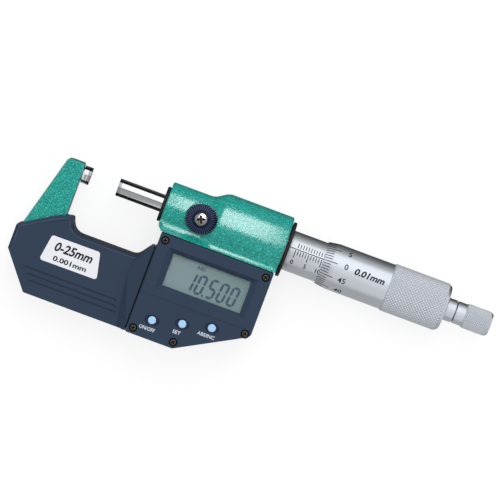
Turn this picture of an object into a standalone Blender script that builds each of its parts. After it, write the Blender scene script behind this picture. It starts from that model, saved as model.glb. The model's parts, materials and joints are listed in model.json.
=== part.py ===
# Digital outside micrometer, 0 to 25 mm, lying on its back.
# Origin: centre of the anvil's measuring face. +X runs along the spindle towards the ratchet,
# +Y up the face of the display, +Z out of the display. All lengths are in metres.
import math

import bmesh
import bpy
from mathutils import Matrix, Vector

MM = 0.001

# Clearances
SEAT = 0.3 * MM                 # between pieces that are seated on each other
RUN = 0.08 * MM                 # radial running clearance of a shaft in its bore
LABEL_FIT = 0.15 * MM           # round the label plate in its pocket

# Measuring faces and screw
REST_GAP = 10.5 * MM            # anvil to spindle, as the display reads
TRAVEL = 25.0 * MM
TIP_L = 1.0 * MM                # carbide tip
SPINDLE_R = 3.25 * MM
ANVIL_R = 3.25 * MM
ANVIL_REACH = 3.2 * MM          # anvil face to frame arm
ANVIL_SHANK_R = 2.5 * MM
ANVIL_SHANK_L = 6.0 * MM
SCREW_R = 3.9 * MM              # crest of the measuring thread
TAIL_R = 3.3 * MM               # small end of the taper that carries the thimble
THREAD_RUN_IN = 0.65 * MM       # cone at the start of the thread
THREAD_SPARE = 1.0 * MM         # thread left in the nut when fully open
KEYWAY_W = 0.9 * MM
KEYWAY_DEPTH = 0.8 * MM

# Casting: arm, strap under the covers, web inside the housing, barrel
ARM_HALF = 4.5 * MM             # half thickness of arm and strap
ARM_TOP_Y = 4.0 * MM
ARM_TOP_W = 6.4 * MM            # width of the arm at the anvil
ARM_SLOPE = 7.1 / 25.9          # how far the outer edge leans out for each unit down
ARM_INNER_ROUND = 2.0 * MM      # corner between the arm and the ledge of the covers
CAST_EDGE = 0.8 * MM            # rounded edges of the casting
STRAP_LAP = 1.8 * MM            # how far the thick strap runs on behind the housing's wall
WEB_HALF = 3.0 * MM
WEB_LAP = 0.9 * MM              # how far the web runs up into the flange
WIRE_HOLE_R = 2.0 * MM
WIRE_HOLE_ALONG = 12.0 * MM     # from the middle of the battery
WIRE_HOLE_UP = 8.0 * MM
BARREL_FRONT_X = 28.8 * MM
BARREL_PAST_HOUSING = 0.4 * MM  # rear end beyond the housing's right side
NOSE_R = 8.7 * MM
BARREL_R = 11.7 * MM
NOSE_L = 14.7 * MM              # straight front part
SHOULDER_L = 6.5 * MM           # smooth rise from nose to barrel
BARREL_EDGE = 0.4 * MM
FLANGE_Y = -8.9 * MM            # where the casting meets the housing
FLANGE_HALF = 10.6 * MM         # half depth of that flange
FLANGE_CUT = 1.7 * MM           # bevel at its front end
SADDLE_BEND = 1.2 * MM          # height of the saddle's bend above the flange
SADDLE_FOOT = 0.25 * MM
SADDLE_LEAN = math.radians(28)
REST_Z = -11.4 * MM             # flat that the part lies on

# Bush, rings and encoder in the barrel
BUSH_WALL = 1.2 * MM
BUSH_L = 21.0 * MM
FRONT_RING_R = 6.5 * MM
FRONT_RING_T = 1.0 * MM
REAR_RING_WALL = 2.55 * MM
REAR_RING_T = 1.1 * MM
RING_EDGE = 0.25 * MM
ENCODER_R = 7.45 * MM           # cavity behind the bush
STATOR_T = 1.2 * MM
ROTOR_T = 1.4 * MM
ROTOR_HUB_R = 4.7 * MM
ROTOR_TO_NUT = 4.9 * MM         # room between the rotor and the nut tube
BEARING_L = 3.5 * MM
ENCODER_AIR = 0.5 * MM

# Sleeve, nut tube and thimble
NUT_WALL = 2.32 * MM
SLEEVE_WALL = 0.8 * MM
SLEEVE_L = 29.4 * MM
NUT_FLANGE_L = 3.0 * MM
NUT_TUBE_PAST_SLEEVE = 7.0 * MM
NUT_L = 14.0 * MM
NUT_BORE_GAP = 0.4 * MM         # round the thread where it is not in the nut
ADJUSTER_L = 4.0 * MM
ADJUSTER_SET_BACK = 1.5 * MM    # from the end of the sleeve
ZERO_LINE_SET_IN = 3.5 * MM     # zero mark from the front end of the sleeve
TURNED_EDGE = 0.2 * MM          # broken edges of the sleeve and the ratchet
THIMBLE_BORE_GAP = 0.15 * MM
THIMBLE_LIP = 0.3 * MM
THIMBLE_WALL = 0.95 * MM
THIMBLE_BEVEL_L = 4.2 * MM
THIMBLE_SMOOTH_L = 25.2 * MM
THIMBLE_GRIP_H = 0.5 * MM       # how far the grip stands above the smooth part
THIMBLE_GRIP_L = 21.2 * MM
THIMBLE_GRIP_STEP = 0.3 * MM
THIMBLE_END_CHAMFER = 1.0 * MM
THIMBLE_END_WALL = 8.0 * MM
TAPER_L = 10.0 * MM

# Ratchet
RATCHET_BASE_R = 4.2 * MM
RATCHET_BASE_L = 3.4 * MM
RATCHET_TEETH = 12
TOOTH_H = 0.5 * MM
KNOB_NECK_R = 4.15 * MM
KNOB_NECK_L = 3.4 * MM
KNOB_R = 4.65 * MM
KNOB_L = 13.4 * MM
KNOB_CHAMFER = 0.6 * MM
KNOB_WALL = 0.7 * MM
KNOB_SKIRT_L = 8.0 * MM
KNOB_WEB = 1.6 * MM
RATCHET_SCREW_R = 1.5 * MM
RATCHET_SCREW_HEAD_R = 2.6 * MM
RATCHET_SCREW_HEAD_L = 1.8 * MM
RATCHET_SCREW_GRIP = 8.0 * MM   # depth in the spindle
DRIVER_SLOT_W = 0.7 * MM
DRIVER_SLOT_DEPTH = 0.7 * MM
CLICK_DISC_T = 1.2 * MM
SPRING_WIRE_R = 0.3 * MM
SPRING_TURNS = 3.5
SPRING_STEPS = 10               # points of the spring for each turn

# Spindle lock
LOCK_X = 42.5 * MM
LOCK_R = 5.65 * MM
LOCK_INNER_R = 3.6 * MM
LOCK_SEAT_Z = 7.3 * MM          # spot face in the barrel
LOCK_RIM_T = 1.5 * MM
LOCK_H = 3.0 * MM
LOCK_DISH = 0.5 * MM
LOCK_EDGE = 0.3 * MM
CLAMP_R = 1.8 * MM
PAD_R = 1.5 * MM
PAD_L = 1.2 * MM
LOCK_SCREW_R = 1.0 * MM
LOCK_SCREW_HEAD_R = 2.45 * MM
LOCK_SCREW_HEAD_H = 1.5 * MM
LOCK_SCREW_RIM_H = 0.45 * MM
LOCK_SCREW_CROWN = 0.4 * MM
LOCK_SCREW_L = 4.0 * MM

# Insulating covers, outline as (x, y, corner radius)
COVER_LEFT_X = -18.9 * MM
COVER_RIGHT_X = 30.3 * MM
BOTTOM_Y = -47.0 * MM
THROAT_Y = -20.5 * MM
THROAT_START_X = 1.2 * MM
THROAT_END_X = 25.4 * MM
COVER_SHOULDER_Y = -15.3 * MM
COVER_LEDGE_X = -0.6 * MM
COVER_PEAK_X = -5.3 * MM
COVER_LEFT_DROP = 9.3 * MM      # top of the left side below the shoulder
COVER_FOOT_RISE = 13.3 * MM     # foot of the left side above the bottom
COVER_FOOT_IN = 10.6 * MM       # left end of the bottom from the left side
KNEE_X = 23.6 * MM              # where the sloping end starts at the throat
KNEE_Y = -25.2 * MM
KNEE_SPREAD = 2.6 * MM          # from there to its corner on the throat
SLOPE_FOOT_PAST_RIBS = 2.4 * MM
SLOPE_FOOT_UP = 2.3 * MM
SLOPE_DEPTH = 2.5 * MM          # how deep the sloping end starts below the cover's face
COVER_HALF = 6.5 * MM
COVER_WALL = 1.5 * MM
COVER_CHAMFER = 1.2 * MM
COVER_RISE_Z = 10.3 * MM        # height of the sloping end next to the housing
RIB_W = 1.5 * MM
RIB_DEPTH = 0.45 * MM
RIB_PITCH = 2.1 * MM
RIB_COUNT = 3
RIB_TOP_Y = -38.4 * MM
RIB_LEFT_X = -12.3 * MM
RIB_RIGHT_X = 24.2 * MM
LABEL_T = 0.5 * MM
LABEL_POCKET = 0.7 * MM
COVER_SCREW_HEAD_R = 1.7 * MM
COVER_SCREW_HEAD_H = 0.6 * MM
COVER_SCREW_SINK = 1.0 * MM     # depth of the pocket for the head
COVER_SCREW_R = 0.9 * MM
COVER_SCREW_GRIP = 3.5 * MM     # depth in the strap

# Display housing
HOUSING_RIGHT_Y = -33.3 * MM    # lower end of its right side
HOUSING_FOOT_X = 48.8 * MM      # right end of its bottom side
HOUSING_FRONT_Z = 11.5 * MM
HOUSING_WALL = 1.6 * MM
HOUSING_EDGE = 0.4 * MM
GASKET_T = 0.6 * MM
GASKET_W = 1.0 * MM
GASKET_START = 4.0 * MM         # how far the seal keeps from the corner at the strap
PANEL_Y = -31.4 * MM            # crease above the buttons
PANEL_DROP = 1.0 * MM           # how far the button panel falls back at its foot
WINDOW_Y = -20.85 * MM          # middle of the display
WINDOW_W = 29.5 * MM
WINDOW_H = 12.1 * MM
WINDOW_BEVEL_W = 2.25 * MM      # width of the bevelled frame at the sides
WINDOW_BEVEL_H = 1.55 * MM
WINDOW_LEFT_MARGIN = 6.7 * MM   # from the left side of the housing to the window
WINDOW_RIGHT_MARGIN = 6.5 * MM
LENS_T = 1.0 * MM
LENS_LAP = 1.0 * MM
GLASS_T = 1.4 * MM
HOLDER_WALL = 1.0 * MM
ZEBRA_T = 1.4 * MM
ZEBRA_W = 1.6 * MM
BOARD_T = 1.0 * MM
BOARD_INSET = 4.4 * MM
BOSS_R = 1.9 * MM
BOSS_LAP = 0.2 * MM             # how far bosses and well run into the wall they stand on
SCREW_HEAD_R = 1.3 * MM
SCREW_HEAD_H = 0.8 * MM
SCREW_SHANK_R = 0.8 * MM
SCREW_SHANK_L = 14.0 * MM
SCREW_HEAD_EDGE = 0.3 * MM
SCREW_INSET = 2.25 * MM         # screw centres from the edges of the housing
FOOT_SCREW_SHIFT = 0.4 * MM     # the two screws at the slanted corner

# Buttons
BUTTON_R = 1.45 * MM
BUTTON_PROUD = 0.45 * MM
BUTTON_STROKE = 0.6 * MM
BUTTON_FLANGE_R = 2.1 * MM
BUTTON_FLANGE_T = 0.6 * MM
BUTTON_STEM_R = 0.9 * MM
BUTTON_EDGE = 0.25 * MM
BEZEL_RX = 2.65 * MM
BEZEL_RY = 1.85 * MM
BEZEL_T = 0.5 * MM
BEZEL_POCKET = 0.6 * MM
SWITCH_R = 1.8 * MM
SWITCH_T = 0.7 * MM

# Battery and its cap in the back
BATTERY_X = 50.5 * MM
BATTERY_Y = -26.5 * MM
BATTERY_R = 10.0 * MM
BATTERY_T = 3.2 * MM
BATTERY_EDGE = 0.4 * MM
WELL_GAP = 0.4 * MM
CAP_R = 11.4 * MM
CAP_T = 0.8 * MM
CAP_EDGE = 0.3 * MM
CAP_SPIGOT_L = 1.0 * MM
WELL_WALL = 1.2 * MM
COIN_SLOT_W = 1.6 * MM
COIN_SLOT_L = 14.0 * MM
COIN_SLOT_DEPTH = 0.5 * MM
CONTACT_T = 0.3 * MM
CONTACT_W = 5.0 * MM
CONTACT_L = 14.0 * MM
CONTACT_FOOT_L = 2.5 * MM

# How far cutters reach past what they cut
PAST = 2.0 * MM

# Shells on which the EXACT solver leaves open edges
MOULDED = ("insulator_front", "insulator_rear", "housing_front", "housing_rear")

# Facets round a full turn
FINE = 36
COARSE = 20
SMALL = 12

# Places that follow from the sizes above
HOUSING_LEFT_X = COVER_RIGHT_X + 2 * SEAT
WINDOW_X = HOUSING_LEFT_X + WINDOW_LEFT_MARGIN + WINDOW_W / 2
HOUSING_RIGHT_X = WINDOW_X + WINDOW_W / 2 + WINDOW_RIGHT_MARGIN
WINDOW_FRAME_W = WINDOW_W + 2 * WINDOW_BEVEL_W
WINDOW_FRAME_H = WINDOW_H + 2 * WINDOW_BEVEL_H

NUT_TUBE_R = SCREW_R + RUN + NUT_WALL
SLEEVE_R = NUT_TUBE_R + SEAT + SLEEVE_WALL
REAR_RING_R = SLEEVE_R + SEAT + REAR_RING_WALL
THIMBLE_BORE_R = SLEEVE_R + THIMBLE_BORE_GAP
THIMBLE_R = THIMBLE_BORE_R + THIMBLE_WALL
THIMBLE_GRIP_R = THIMBLE_R + THIMBLE_GRIP_H

BARREL_REAR_X = HOUSING_RIGHT_X + BARREL_PAST_HOUSING
SHOULDER_X = BARREL_FRONT_X + NOSE_L
BUSH_R = SPINDLE_R + RUN + BUSH_WALL
BUSH_END_X = BARREL_FRONT_X + SEAT + BUSH_L
CAVITY_X = BUSH_END_X + SEAT
STATOR_X = CAVITY_X + SEAT
ROTOR_X = STATOR_X + STATOR_T + ENCODER_AIR
NUT_FLANGE_X = BARREL_REAR_X - NUT_FLANGE_L - SEAT
ROTOR_END_X = NUT_FLANGE_X - ROTOR_TO_NUT
ROTOR_HUB_L = ROTOR_END_X - ROTOR_X - ROTOR_T
BEARING_X = ROTOR_END_X - BEARING_L
REAR_RING_X = BARREL_REAR_X + SEAT
SLEEVE_X = REAR_RING_X + SEAT
SLEEVE_END_X = SLEEVE_X + SLEEVE_L
NUT_END_X = SLEEVE_END_X + NUT_TUBE_PAST_SLEEVE
ADJUSTER_X = SLEEVE_END_X + ADJUSTER_SET_BACK
ZERO_LINE_X = SLEEVE_X + ZERO_LINE_SET_IN
THIMBLE_X = ZERO_LINE_X + REST_GAP
GRIP_X = THIMBLE_X + THIMBLE_SMOOTH_L
GRIP_END_X = GRIP_X + THIMBLE_GRIP_L
THIMBLE_END_X = GRIP_END_X + THIMBLE_END_CHAMFER
SCREW_START_X = NUT_END_X - NUT_L - (TRAVEL - REST_GAP) - THREAD_SPARE
TAPER_X = THIMBLE_END_X - TAPER_L
RATCHET_BASE_X = THIMBLE_END_X + SEAT
RATCHET_FACE_X = RATCHET_BASE_X + RATCHET_BASE_L
KNOB_X = RATCHET_FACE_X + SEAT
KNOB_END_X = KNOB_X + KNOB_L
KNOB_WEB_X = KNOB_X + KNOB_SKIRT_L
SCREW_HEAD_X = KNOB_WEB_X + KNOB_WEB + SEAT
KEYWAY_X = ROTOR_END_X - ROTOR_HUB_L / 2 - (TRAVEL - REST_GAP) - KEYWAY_W
KEYWAY_END_X = ROTOR_END_X - ROTOR_HUB_L / 2 + REST_GAP + KEYWAY_W

HOUSING_TOP_Y = FLANGE_Y - SEAT
FRONT_INNER_Z = HOUSING_FRONT_Z - HOUSING_WALL
REAR_INNER_Z = REST_Z + HOUSING_WALL
LENS_Z = FRONT_INNER_Z - SEAT - LENS_T
GLASS_Z = LENS_Z - SEAT - GLASS_T
ZEBRA_Z = GLASS_Z - SEAT - ZEBRA_T
BOARD_Z = ZEBRA_Z - SEAT - BOARD_T
BOARD_TOP_Z = BOARD_Z + BOARD_T
WELL_R = BATTERY_R + WELL_GAP
CAP_SEAT_Z = REST_Z + CAP_T + 2 * SEAT
SPIGOT_TOP_Z = CAP_SEAT_Z - SEAT + CAP_SPIGOT_L
BATTERY_Z = SPIGOT_TOP_Z + SEAT
LOCK_KNOB_Z = LOCK_SEAT_Z + SEAT

COVER = {
    "foot": (COVER_LEFT_X + COVER_FOOT_IN, BOTTOM_Y, 0.8 * MM),
    "end": (COVER_RIGHT_X, BOTTOM_Y, 0.0),
    "end_top": (COVER_RIGHT_X, COVER_SHOULDER_Y + 0.1 * MM, 0.4 * MM),
    "horn": (COVER_RIGHT_X - 1.2 * MM, COVER_SHOULDER_Y - 0.2 * MM, 1.0 * MM),
    "throat_end": (THROAT_END_X, THROAT_Y, 3.5 * MM),
    "throat": (THROAT_START_X, THROAT_Y, 4.5 * MM),
    "ledge": (COVER_LEDGE_X, COVER_SHOULDER_Y, 0.9 * MM),
    "peak": (COVER_PEAK_X, COVER_SHOULDER_Y - 1.0 * MM, 1.5 * MM),
    "left_top": (COVER_LEFT_X, COVER_SHOULDER_Y - COVER_LEFT_DROP, 1.2 * MM),
    "left_foot": (COVER_LEFT_X, BOTTOM_Y + COVER_FOOT_RISE, 1.0 * MM),
}
HOUSING = [
    (HOUSING_LEFT_X, BOTTOM_Y, 0.5 * MM),
    (HOUSING_FOOT_X, BOTTOM_Y, 0.8 * MM),
    (HOUSING_RIGHT_X, HOUSING_RIGHT_Y, 2.0 * MM),
    (HOUSING_RIGHT_X, HOUSING_TOP_Y, 0.4 * MM),
    (HOUSING_LEFT_X, HOUSING_TOP_Y, 0.4 * MM),
]
LABEL = [
    (-7.0 * MM, -33.8 * MM, 1.0 * MM),
    (15.0 * MM, -33.7 * MM, 1.0 * MM),
    (12.8 * MM, -23.9 * MM, 1.0 * MM),
    (-5.45 * MM, -24.0 * MM, 1.0 * MM),
]
HOUSING_SCREWS = [
    (HOUSING_LEFT_X + SCREW_INSET, HOUSING_TOP_Y - SCREW_INSET),
    (HOUSING_RIGHT_X - SCREW_INSET, HOUSING_TOP_Y - SCREW_INSET),
    (HOUSING_LEFT_X + SCREW_INSET, BOTTOM_Y + SCREW_INSET),
    (HOUSING_FOOT_X - FOOT_SCREW_SHIFT, BOTTOM_Y + SCREW_INSET),
    (HOUSING_RIGHT_X - SCREW_INSET, HOUSING_RIGHT_Y + FOOT_SCREW_SHIFT),
]
BUTTONS = {
    "button_on_off": (38.6 * MM, -39.9 * MM),
    "button_set": (49.2 * MM, -37.4 * MM),
    "button_abs": (59.6 * MM, -35.1 * MM),
}
COVER_SCREWS = [(-9.0 * MM, -31.0 * MM), (19.0 * MM, -31.0 * MM)]

# Colours as sRGB, with roughness and metallic
FINISHES = {
    "green_paint": ((20, 160, 136), 0.42, 0.0),
    "navy_plastic": ((58, 70, 90), 0.5, 0.0),
    "dark_plastic": ((25, 34, 66), 0.45, 0.0),
    "button_plastic": ((165, 205, 240), 0.4, 0.0),
    "polished_steel": ((205, 210, 216), 0.14, 1.0),
    "satin_steel": ((196, 202, 211), 0.32, 1.0),
    "carbide": ((120, 124, 130), 0.2, 1.0),
    "brass": ((200, 165, 92), 0.3, 1.0),
    "black_rubber": ((24, 24, 26), 0.7, 0.0),
    "dark_screw": ((70, 60, 52), 0.35, 1.0),
    "label_white": ((228, 228, 235), 0.45, 0.0),
    "window": ((190, 210, 208), 0.08, 0.0),
    "display": ((140, 165, 165), 0.25, 0.0),
    "board": ((30, 92, 58), 0.55, 0.0),
    "spring_steel": ((150, 152, 156), 0.3, 1.0),
}


def linear(channel):
    value = channel / 255.0
    return value / 12.92 if value <= 0.04045 else ((value + 0.055) / 1.055) ** 2.4


def finish(name):
    found = bpy.data.materials.get(name)
    if found:
        return found
    colour, roughness, metallic = FINISHES[name]
    material = bpy.data.materials.new(name)
    material.use_nodes = True
    shader = material.node_tree.nodes["Principled BSDF"]
    shader.inputs["Base Color"].default_value = [linear(c) for c in colour] + [1.0]
    shader.inputs["Roughness"].default_value = roughness
    shader.inputs["Metallic"].default_value = metallic
    material.diffuse_color = [linear(c) for c in colour] + [1.0]
    return material


# Outlines

def moved_in(corners, distance):
    """The same anticlockwise outline with every side moved inwards."""
    count = len(corners)
    lines = []
    for i in range(count):
        a = Vector(corners[i][:2])
        b = Vector(corners[(i + 1) % count][:2])
        along = (b - a).normalized()
        lines.append((a + Vector((-along.y, along.x)) * distance, along))
    result = []
    for i in range(count):
        p, u = lines[i - 1]
        q, v = lines[i]
        turn = u.x * v.y - u.y * v.x
        step = ((q - p).x * v.y - (q - p).y * v.x) / turn
        at = p + u * step
        radius = corners[i][2] - distance if turn > 0 else corners[i][2] + distance
        result.append((at.x, at.y, max(radius, 0.0) if corners[i][2] > 0 else 0.0))
    return result


def rounded(corners, steps=4):
    """Points of an outline whose corners are arcs of their own radius."""
    points = []
    count = len(corners)
    for i in range(count):
        here = Vector(corners[i][:2])
        radius = corners[i][2]
        if radius <= 0:
            points.append(here)
            continue
        before = (Vector(corners[i - 1][:2]) - here).normalized()
        after = (Vector(corners[(i + 1) % count][:2]) - here).normalized()
        half = before.angle(after) / 2
        centre = here + (before + after).normalized() * (radius / math.sin(half))
        start = here + before * (radius / math.tan(half)) - centre
        end = here + after * (radius / math.tan(half)) - centre
        sweep = start.angle_signed(end)
        for k in range(steps + 1):
            points.append(centre + Matrix.Rotation(-sweep * k / steps, 2) @ start)
    return points


def ellipse(at, rx, ry, count=COARSE):
    turn = [2 * math.pi * k / count for k in range(count)]
    return [Vector((at[0] + rx * math.cos(a), at[1] + ry * math.sin(a))) for a in turn]


def rectangle(at, width, height):
    x, y = at
    w, h = width / 2, height / 2
    return [Vector(p) for p in ((x - w, y - h), (x + w, y - h), (x + w, y + h), (x - w, y + h))]


# Solids

def prism(bm, outline, z0, z1):
    """Extrude a flat outline from z0 to z1; gives back the corners at z1."""
    ring = [bm.verts.new((p[0], p[1], z0)) for p in outline]
    base = bm.faces.new(ring)
    extruded = bmesh.ops.extrude_face_region(bm, geom=[base])["geom"]
    top = [v for v in extruded if isinstance(v, bmesh.types.BMVert)]
    bmesh.ops.translate(bm, verts=top, vec=(0, 0, z1 - z0))
    return top


def ease_rim(bm, verts, width, keep=None, segments=1):
    """Bevel the rim that joins the given vertices, where keep allows it."""
    chosen = set(verts)
    edges = [e for e in bm.edges if e.verts[0] in chosen and e.verts[1] in chosen]
    if keep:
        edges = [e for e in edges if keep((e.verts[0].co + e.verts[1].co) / 2)]
    bmesh.ops.bevel(bm, geom=edges, offset=width, segments=segments, profile=0.5,
                    affect="EDGES", clamp_overlap=True)


def turn_profile(bm, profile, segments=FINE, matrix=None):
    """Turn (height, radius) points about Z; the profile closes on itself or on the axis."""
    verts = [bm.verts.new((r, 0, z)) for z, r in profile]
    edges = [bm.edges.new(pair) for pair in zip(verts, verts[1:])]
    if profile[0][1] > 0 or profile[-1][1] > 0:
        edges.append(bm.edges.new((verts[-1], verts[0])))
    old = set(bm.verts) - set(verts)
    bmesh.ops.spin(bm, geom=verts + edges, cent=(0, 0, 0), axis=(0, 0, 1),
                   angle=2 * math.pi, steps=segments, use_merge=True)
    new = [v for v in bm.verts if v not in old]
    bmesh.ops.remove_doubles(bm, verts=new, dist=1e-7)
    new = [v for v in bm.verts if v not in old]
    if matrix is not None:
        bmesh.ops.transform(bm, matrix=matrix, verts=new)
    return new


def loft(bm, rings):
    """Join rings of equal length and cap both ends."""
    rows = [[bm.verts.new(p) for p in ring] for ring in rings]
    count = len(rows[0])
    for a, b in zip(rows, rows[1:]):
        for i in range(count):
            j = (i + 1) % count
            bm.faces.new((a[i], a[j], b[j], b[i]))
    bm.faces.new(rows[0])
    bm.faces.new(list(reversed(rows[-1])))


ALONG_X = Matrix.Rotation(math.pi / 2, 4, "Y")    # turns a piece built about Z to lie along X


def add_object(name, bm, material=None, axis=None, at=(0, 0, 0), parent=None):
    bmesh.ops.recalc_face_normals(bm, faces=bm.faces)
    mesh = bpy.data.meshes.new(name)
    bm.to_mesh(mesh)
    bm.free()
    mesh.shade_smooth()
    mesh.set_sharp_from_angle(angle=math.radians(32))
    obj = bpy.data.objects.new(name, mesh)
    bpy.context.scene.collection.objects.link(obj)
    if axis == "X":
        obj.rotation_euler = (0, math.pi / 2, 0)
    obj.location = at
    if material:
        mesh.materials.append(finish(material))
    if parent:
        obj.parent = parent
    return obj


def turned(name, profile, material, axis="X", at=(0, 0, 0), segments=FINE, parent=None):
    bm = bmesh.new()
    turn_profile(bm, profile, segments)
    return add_object(name, bm, material, axis, at, parent)


def extruded(name, outline, z0, z1, material, parent=None):
    bm = bmesh.new()
    prism(bm, outline, z0, z1)
    return add_object(name, bm, material, parent=parent)


def tool(name, bm):
    obj = add_object(name, bm)
    obj.hide_render = True
    obj.display_type = "WIRE"
    return obj


def combine(target, cutter, operation="DIFFERENCE"):
    modifier = target.modifiers.new(cutter.name, "BOOLEAN")
    modifier.operation = operation
    modifier.object = cutter
    modifier.solver = "MANIFOLD" if target.name in MOULDED else "EXACT"


def cut_prism(target, name, outline, z0, z1):
    bm = bmesh.new()
    prism(bm, outline, z0, z1)
    combine(target, tool(name, bm))


def cut_turned(target, name, profile, matrix=None, segments=FINE):
    bm = bmesh.new()
    turn_profile(bm, profile, segments, matrix)
    combine(target, tool(name, bm))


def drill(target, name, places, radius, z0, z1, segments=SMALL, operation="DIFFERENCE"):
    """Round holes or bosses along Z at several places."""
    bm = bmesh.new()
    for x, y in places:
        turn_profile(bm, [(z0, 0), (z0, radius), (z1, radius), (z1, 0)], segments,
                     Matrix.Translation((x, y, 0)))
    combine(target, tool(name, bm), operation)


def pivot(name, at):
    """An empty on a joint's axis, which carries the pieces that turn about it."""
    empty = bpy.data.objects.new(name, None)
    empty.location = at
    bpy.context.scene.collection.objects.link(empty)
    return empty


# Casting

def arm_edge_x(y):
    return -ANVIL_REACH - ARM_TOP_W - (ARM_TOP_Y - y) * ARM_SLOPE


def strap_corners(clearance=0.0):
    """The casting's arm and strap; a clearance grows it for the covers' cavity."""
    names = ["foot", "end", "end_top", "horn", "throat_end", "throat", "ledge", "peak",
             "left_top", "left_foot"]
    inner = moved_in([COVER[n] for n in names], COVER_WALL + SEAT)
    inner = dict(zip(names, inner))
    left_x = inner["left_foot"][0]
    foot_y = ARM_TOP_Y - (-ANVIL_REACH - ARM_TOP_W - left_x) / ARM_SLOPE
    end_x = HOUSING_LEFT_X + HOUSING_WALL + STRAP_LAP
    corners = [
        inner["foot"],
        (end_x, inner["foot"][1], 0.0),
        (end_x, inner["end_top"][1], 0.0),
        (inner["horn"][0], inner["horn"][1], 0.8 * MM),
        inner["throat_end"],
        inner["throat"],
        (-ANVIL_REACH, inner["ledge"][1], ARM_INNER_ROUND),
        (-ANVIL_REACH, ARM_TOP_Y, 0.8 * MM),
        (arm_edge_x(ARM_TOP_Y), ARM_TOP_Y, 1.6 * MM),
        (left_x, foot_y, 1.0 * MM),
        inner["left_foot"],
    ]
    return moved_in(corners, -clearance) if clearance else corners


def web_corners(clearance=0.0):
    """The casting's plate inside the housing, up to the barrel's flange."""
    inset = HOUSING_WALL + SEAT - clearance
    corners = moved_in(HOUSING, inset)
    top = FLANGE_Y + WEB_LAP
    corners[3] = (corners[3][0], top, 0.0)
    corners[4] = (corners[4][0], top, 0.0)
    return corners


def barrel_radius(x):
    rise = min(max((x - SHOULDER_X) / SHOULDER_L, 0.0), 1.0)
    return NOSE_R + (BARREL_R - NOSE_R) * rise * rise * (3 - 2 * rise)


def barrel_section(x, shrink=0.0):
    """Round barrel that flows over a hollow saddle into the flange, with a flat on its back."""
    radius = barrel_radius(x) - shrink
    near_end = max(0.0, FLANGE_CUT - (x - BARREL_FRONT_X))
    foot = FLANGE_Y + near_end + shrink
    depth = FLANGE_HALF - shrink
    lean = SADDLE_LEAN
    touch = Vector((-math.sin(lean), math.cos(lean))) * radius
    bend_y = FLANGE_Y + SADDLE_BEND + near_end
    slope = Vector((-math.cos(lean), -math.sin(lean)))
    bend = touch + slope * ((bend_y - touch.x) / slope.x)
    start = Vector((foot + SADDLE_FOOT, depth))
    saddle = []
    for k in range(5):
        t = k / 5
        saddle.append(start * (1 - t) ** 2 + bend * 2 * t * (1 - t) + touch * t * t)
    arc_steps = 32
    round_part = []
    for k in range(arc_steps + 1):
        a = -lean + (math.pi + 2 * lean) * k / arc_steps
        round_part.append(Vector((math.sin(a) * radius, max(math.cos(a) * radius, REST_Z))))
    back = [Vector((p.x, -p.y)) for p in reversed(saddle)]
    outline = [Vector((foot, depth))] + saddle + round_part + back + [Vector((foot, -depth))]
    return [(x, p.x, p.y) for p in outline]


def build_frame():
    bm = bmesh.new()
    stations = [(BARREL_FRONT_X, BARREL_EDGE), (BARREL_FRONT_X + BARREL_EDGE, 0.0),
                (BARREL_FRONT_X + FLANGE_CUT, 0.0), (SHOULDER_X, 0.0)]
    rise_steps = 4
    stations += [(SHOULDER_X + SHOULDER_L * k / rise_steps, 0.0) for k in range(1, rise_steps + 1)]
    stations += [(BARREL_REAR_X - BARREL_EDGE, 0.0), (BARREL_REAR_X, BARREL_EDGE)]
    loft(bm, [barrel_section(x, shrink) for x, shrink in stations])
    frame = add_object("frame", bm, "green_paint")

    bm = bmesh.new()
    top = prism(bm, rounded(strap_corners()), -ARM_HALF, ARM_HALF)
    bottom = [v for v in bm.verts if v not in set(top)]
    ease_rim(bm, top + bottom, CAST_EDGE, keep=lambda p: abs(abs(p.z) - ARM_HALF) < 1e-6,
             segments=2)
    combine(frame, tool("strap_stock", bm), "UNION")
    bm = bmesh.new()
    prism(bm, rounded(web_corners()), -WEB_HALF, WEB_HALF)
    combine(frame, tool("web_stock", bm), "UNION")

    bush_bore = BUSH_R + SEAT / 3
    cut_turned(frame, "bush_bore", [(BARREL_FRONT_X - PAST, 0), (BARREL_FRONT_X - PAST, bush_bore),
                                    (CAVITY_X, bush_bore), (CAVITY_X, ENCODER_R),
                                    (BARREL_REAR_X + PAST, ENCODER_R), (BARREL_REAR_X + PAST, 0)],
               ALONG_X, COARSE + 8)
    shank = ANVIL_SHANK_R + SEAT / 3
    hole_end = -ANVIL_REACH - ANVIL_SHANK_L - SEAT
    cut_turned(frame, "anvil_bore", [(hole_end, 0), (hole_end, shank), (PAST, shank), (PAST, 0)],
               ALONG_X, COARSE)
    lock = Matrix.Translation((LOCK_X, 0, 0))
    clamp = CLAMP_R + RUN
    face = LOCK_R + SEAT
    cut_turned(frame, "lock_bore", [(0, 0), (0, clamp), (LOCK_SEAT_Z, clamp), (LOCK_SEAT_Z, face),
                                    (2 * BARREL_R, face), (2 * BARREL_R, 0)], lock, FINE)
    drill(frame, "boss_notches", HOUSING_SCREWS, BOSS_R + SEAT, -2 * WEB_HALF, 2 * WEB_HALF)
    drill(frame, "cover_screw_holes", COVER_SCREWS, COVER_SCREW_R + SEAT / 3,
          -ARM_HALF - PAST, -ARM_HALF + COVER_SCREW_GRIP + SEAT)
    drill(frame, "wire_hole", [(BATTERY_X + WIRE_HOLE_ALONG, BATTERY_Y + WIRE_HOLE_UP)],
          WIRE_HOLE_R, -2 * WEB_HALF, 2 * WEB_HALF)


# Measuring faces, spindle and guides

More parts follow.
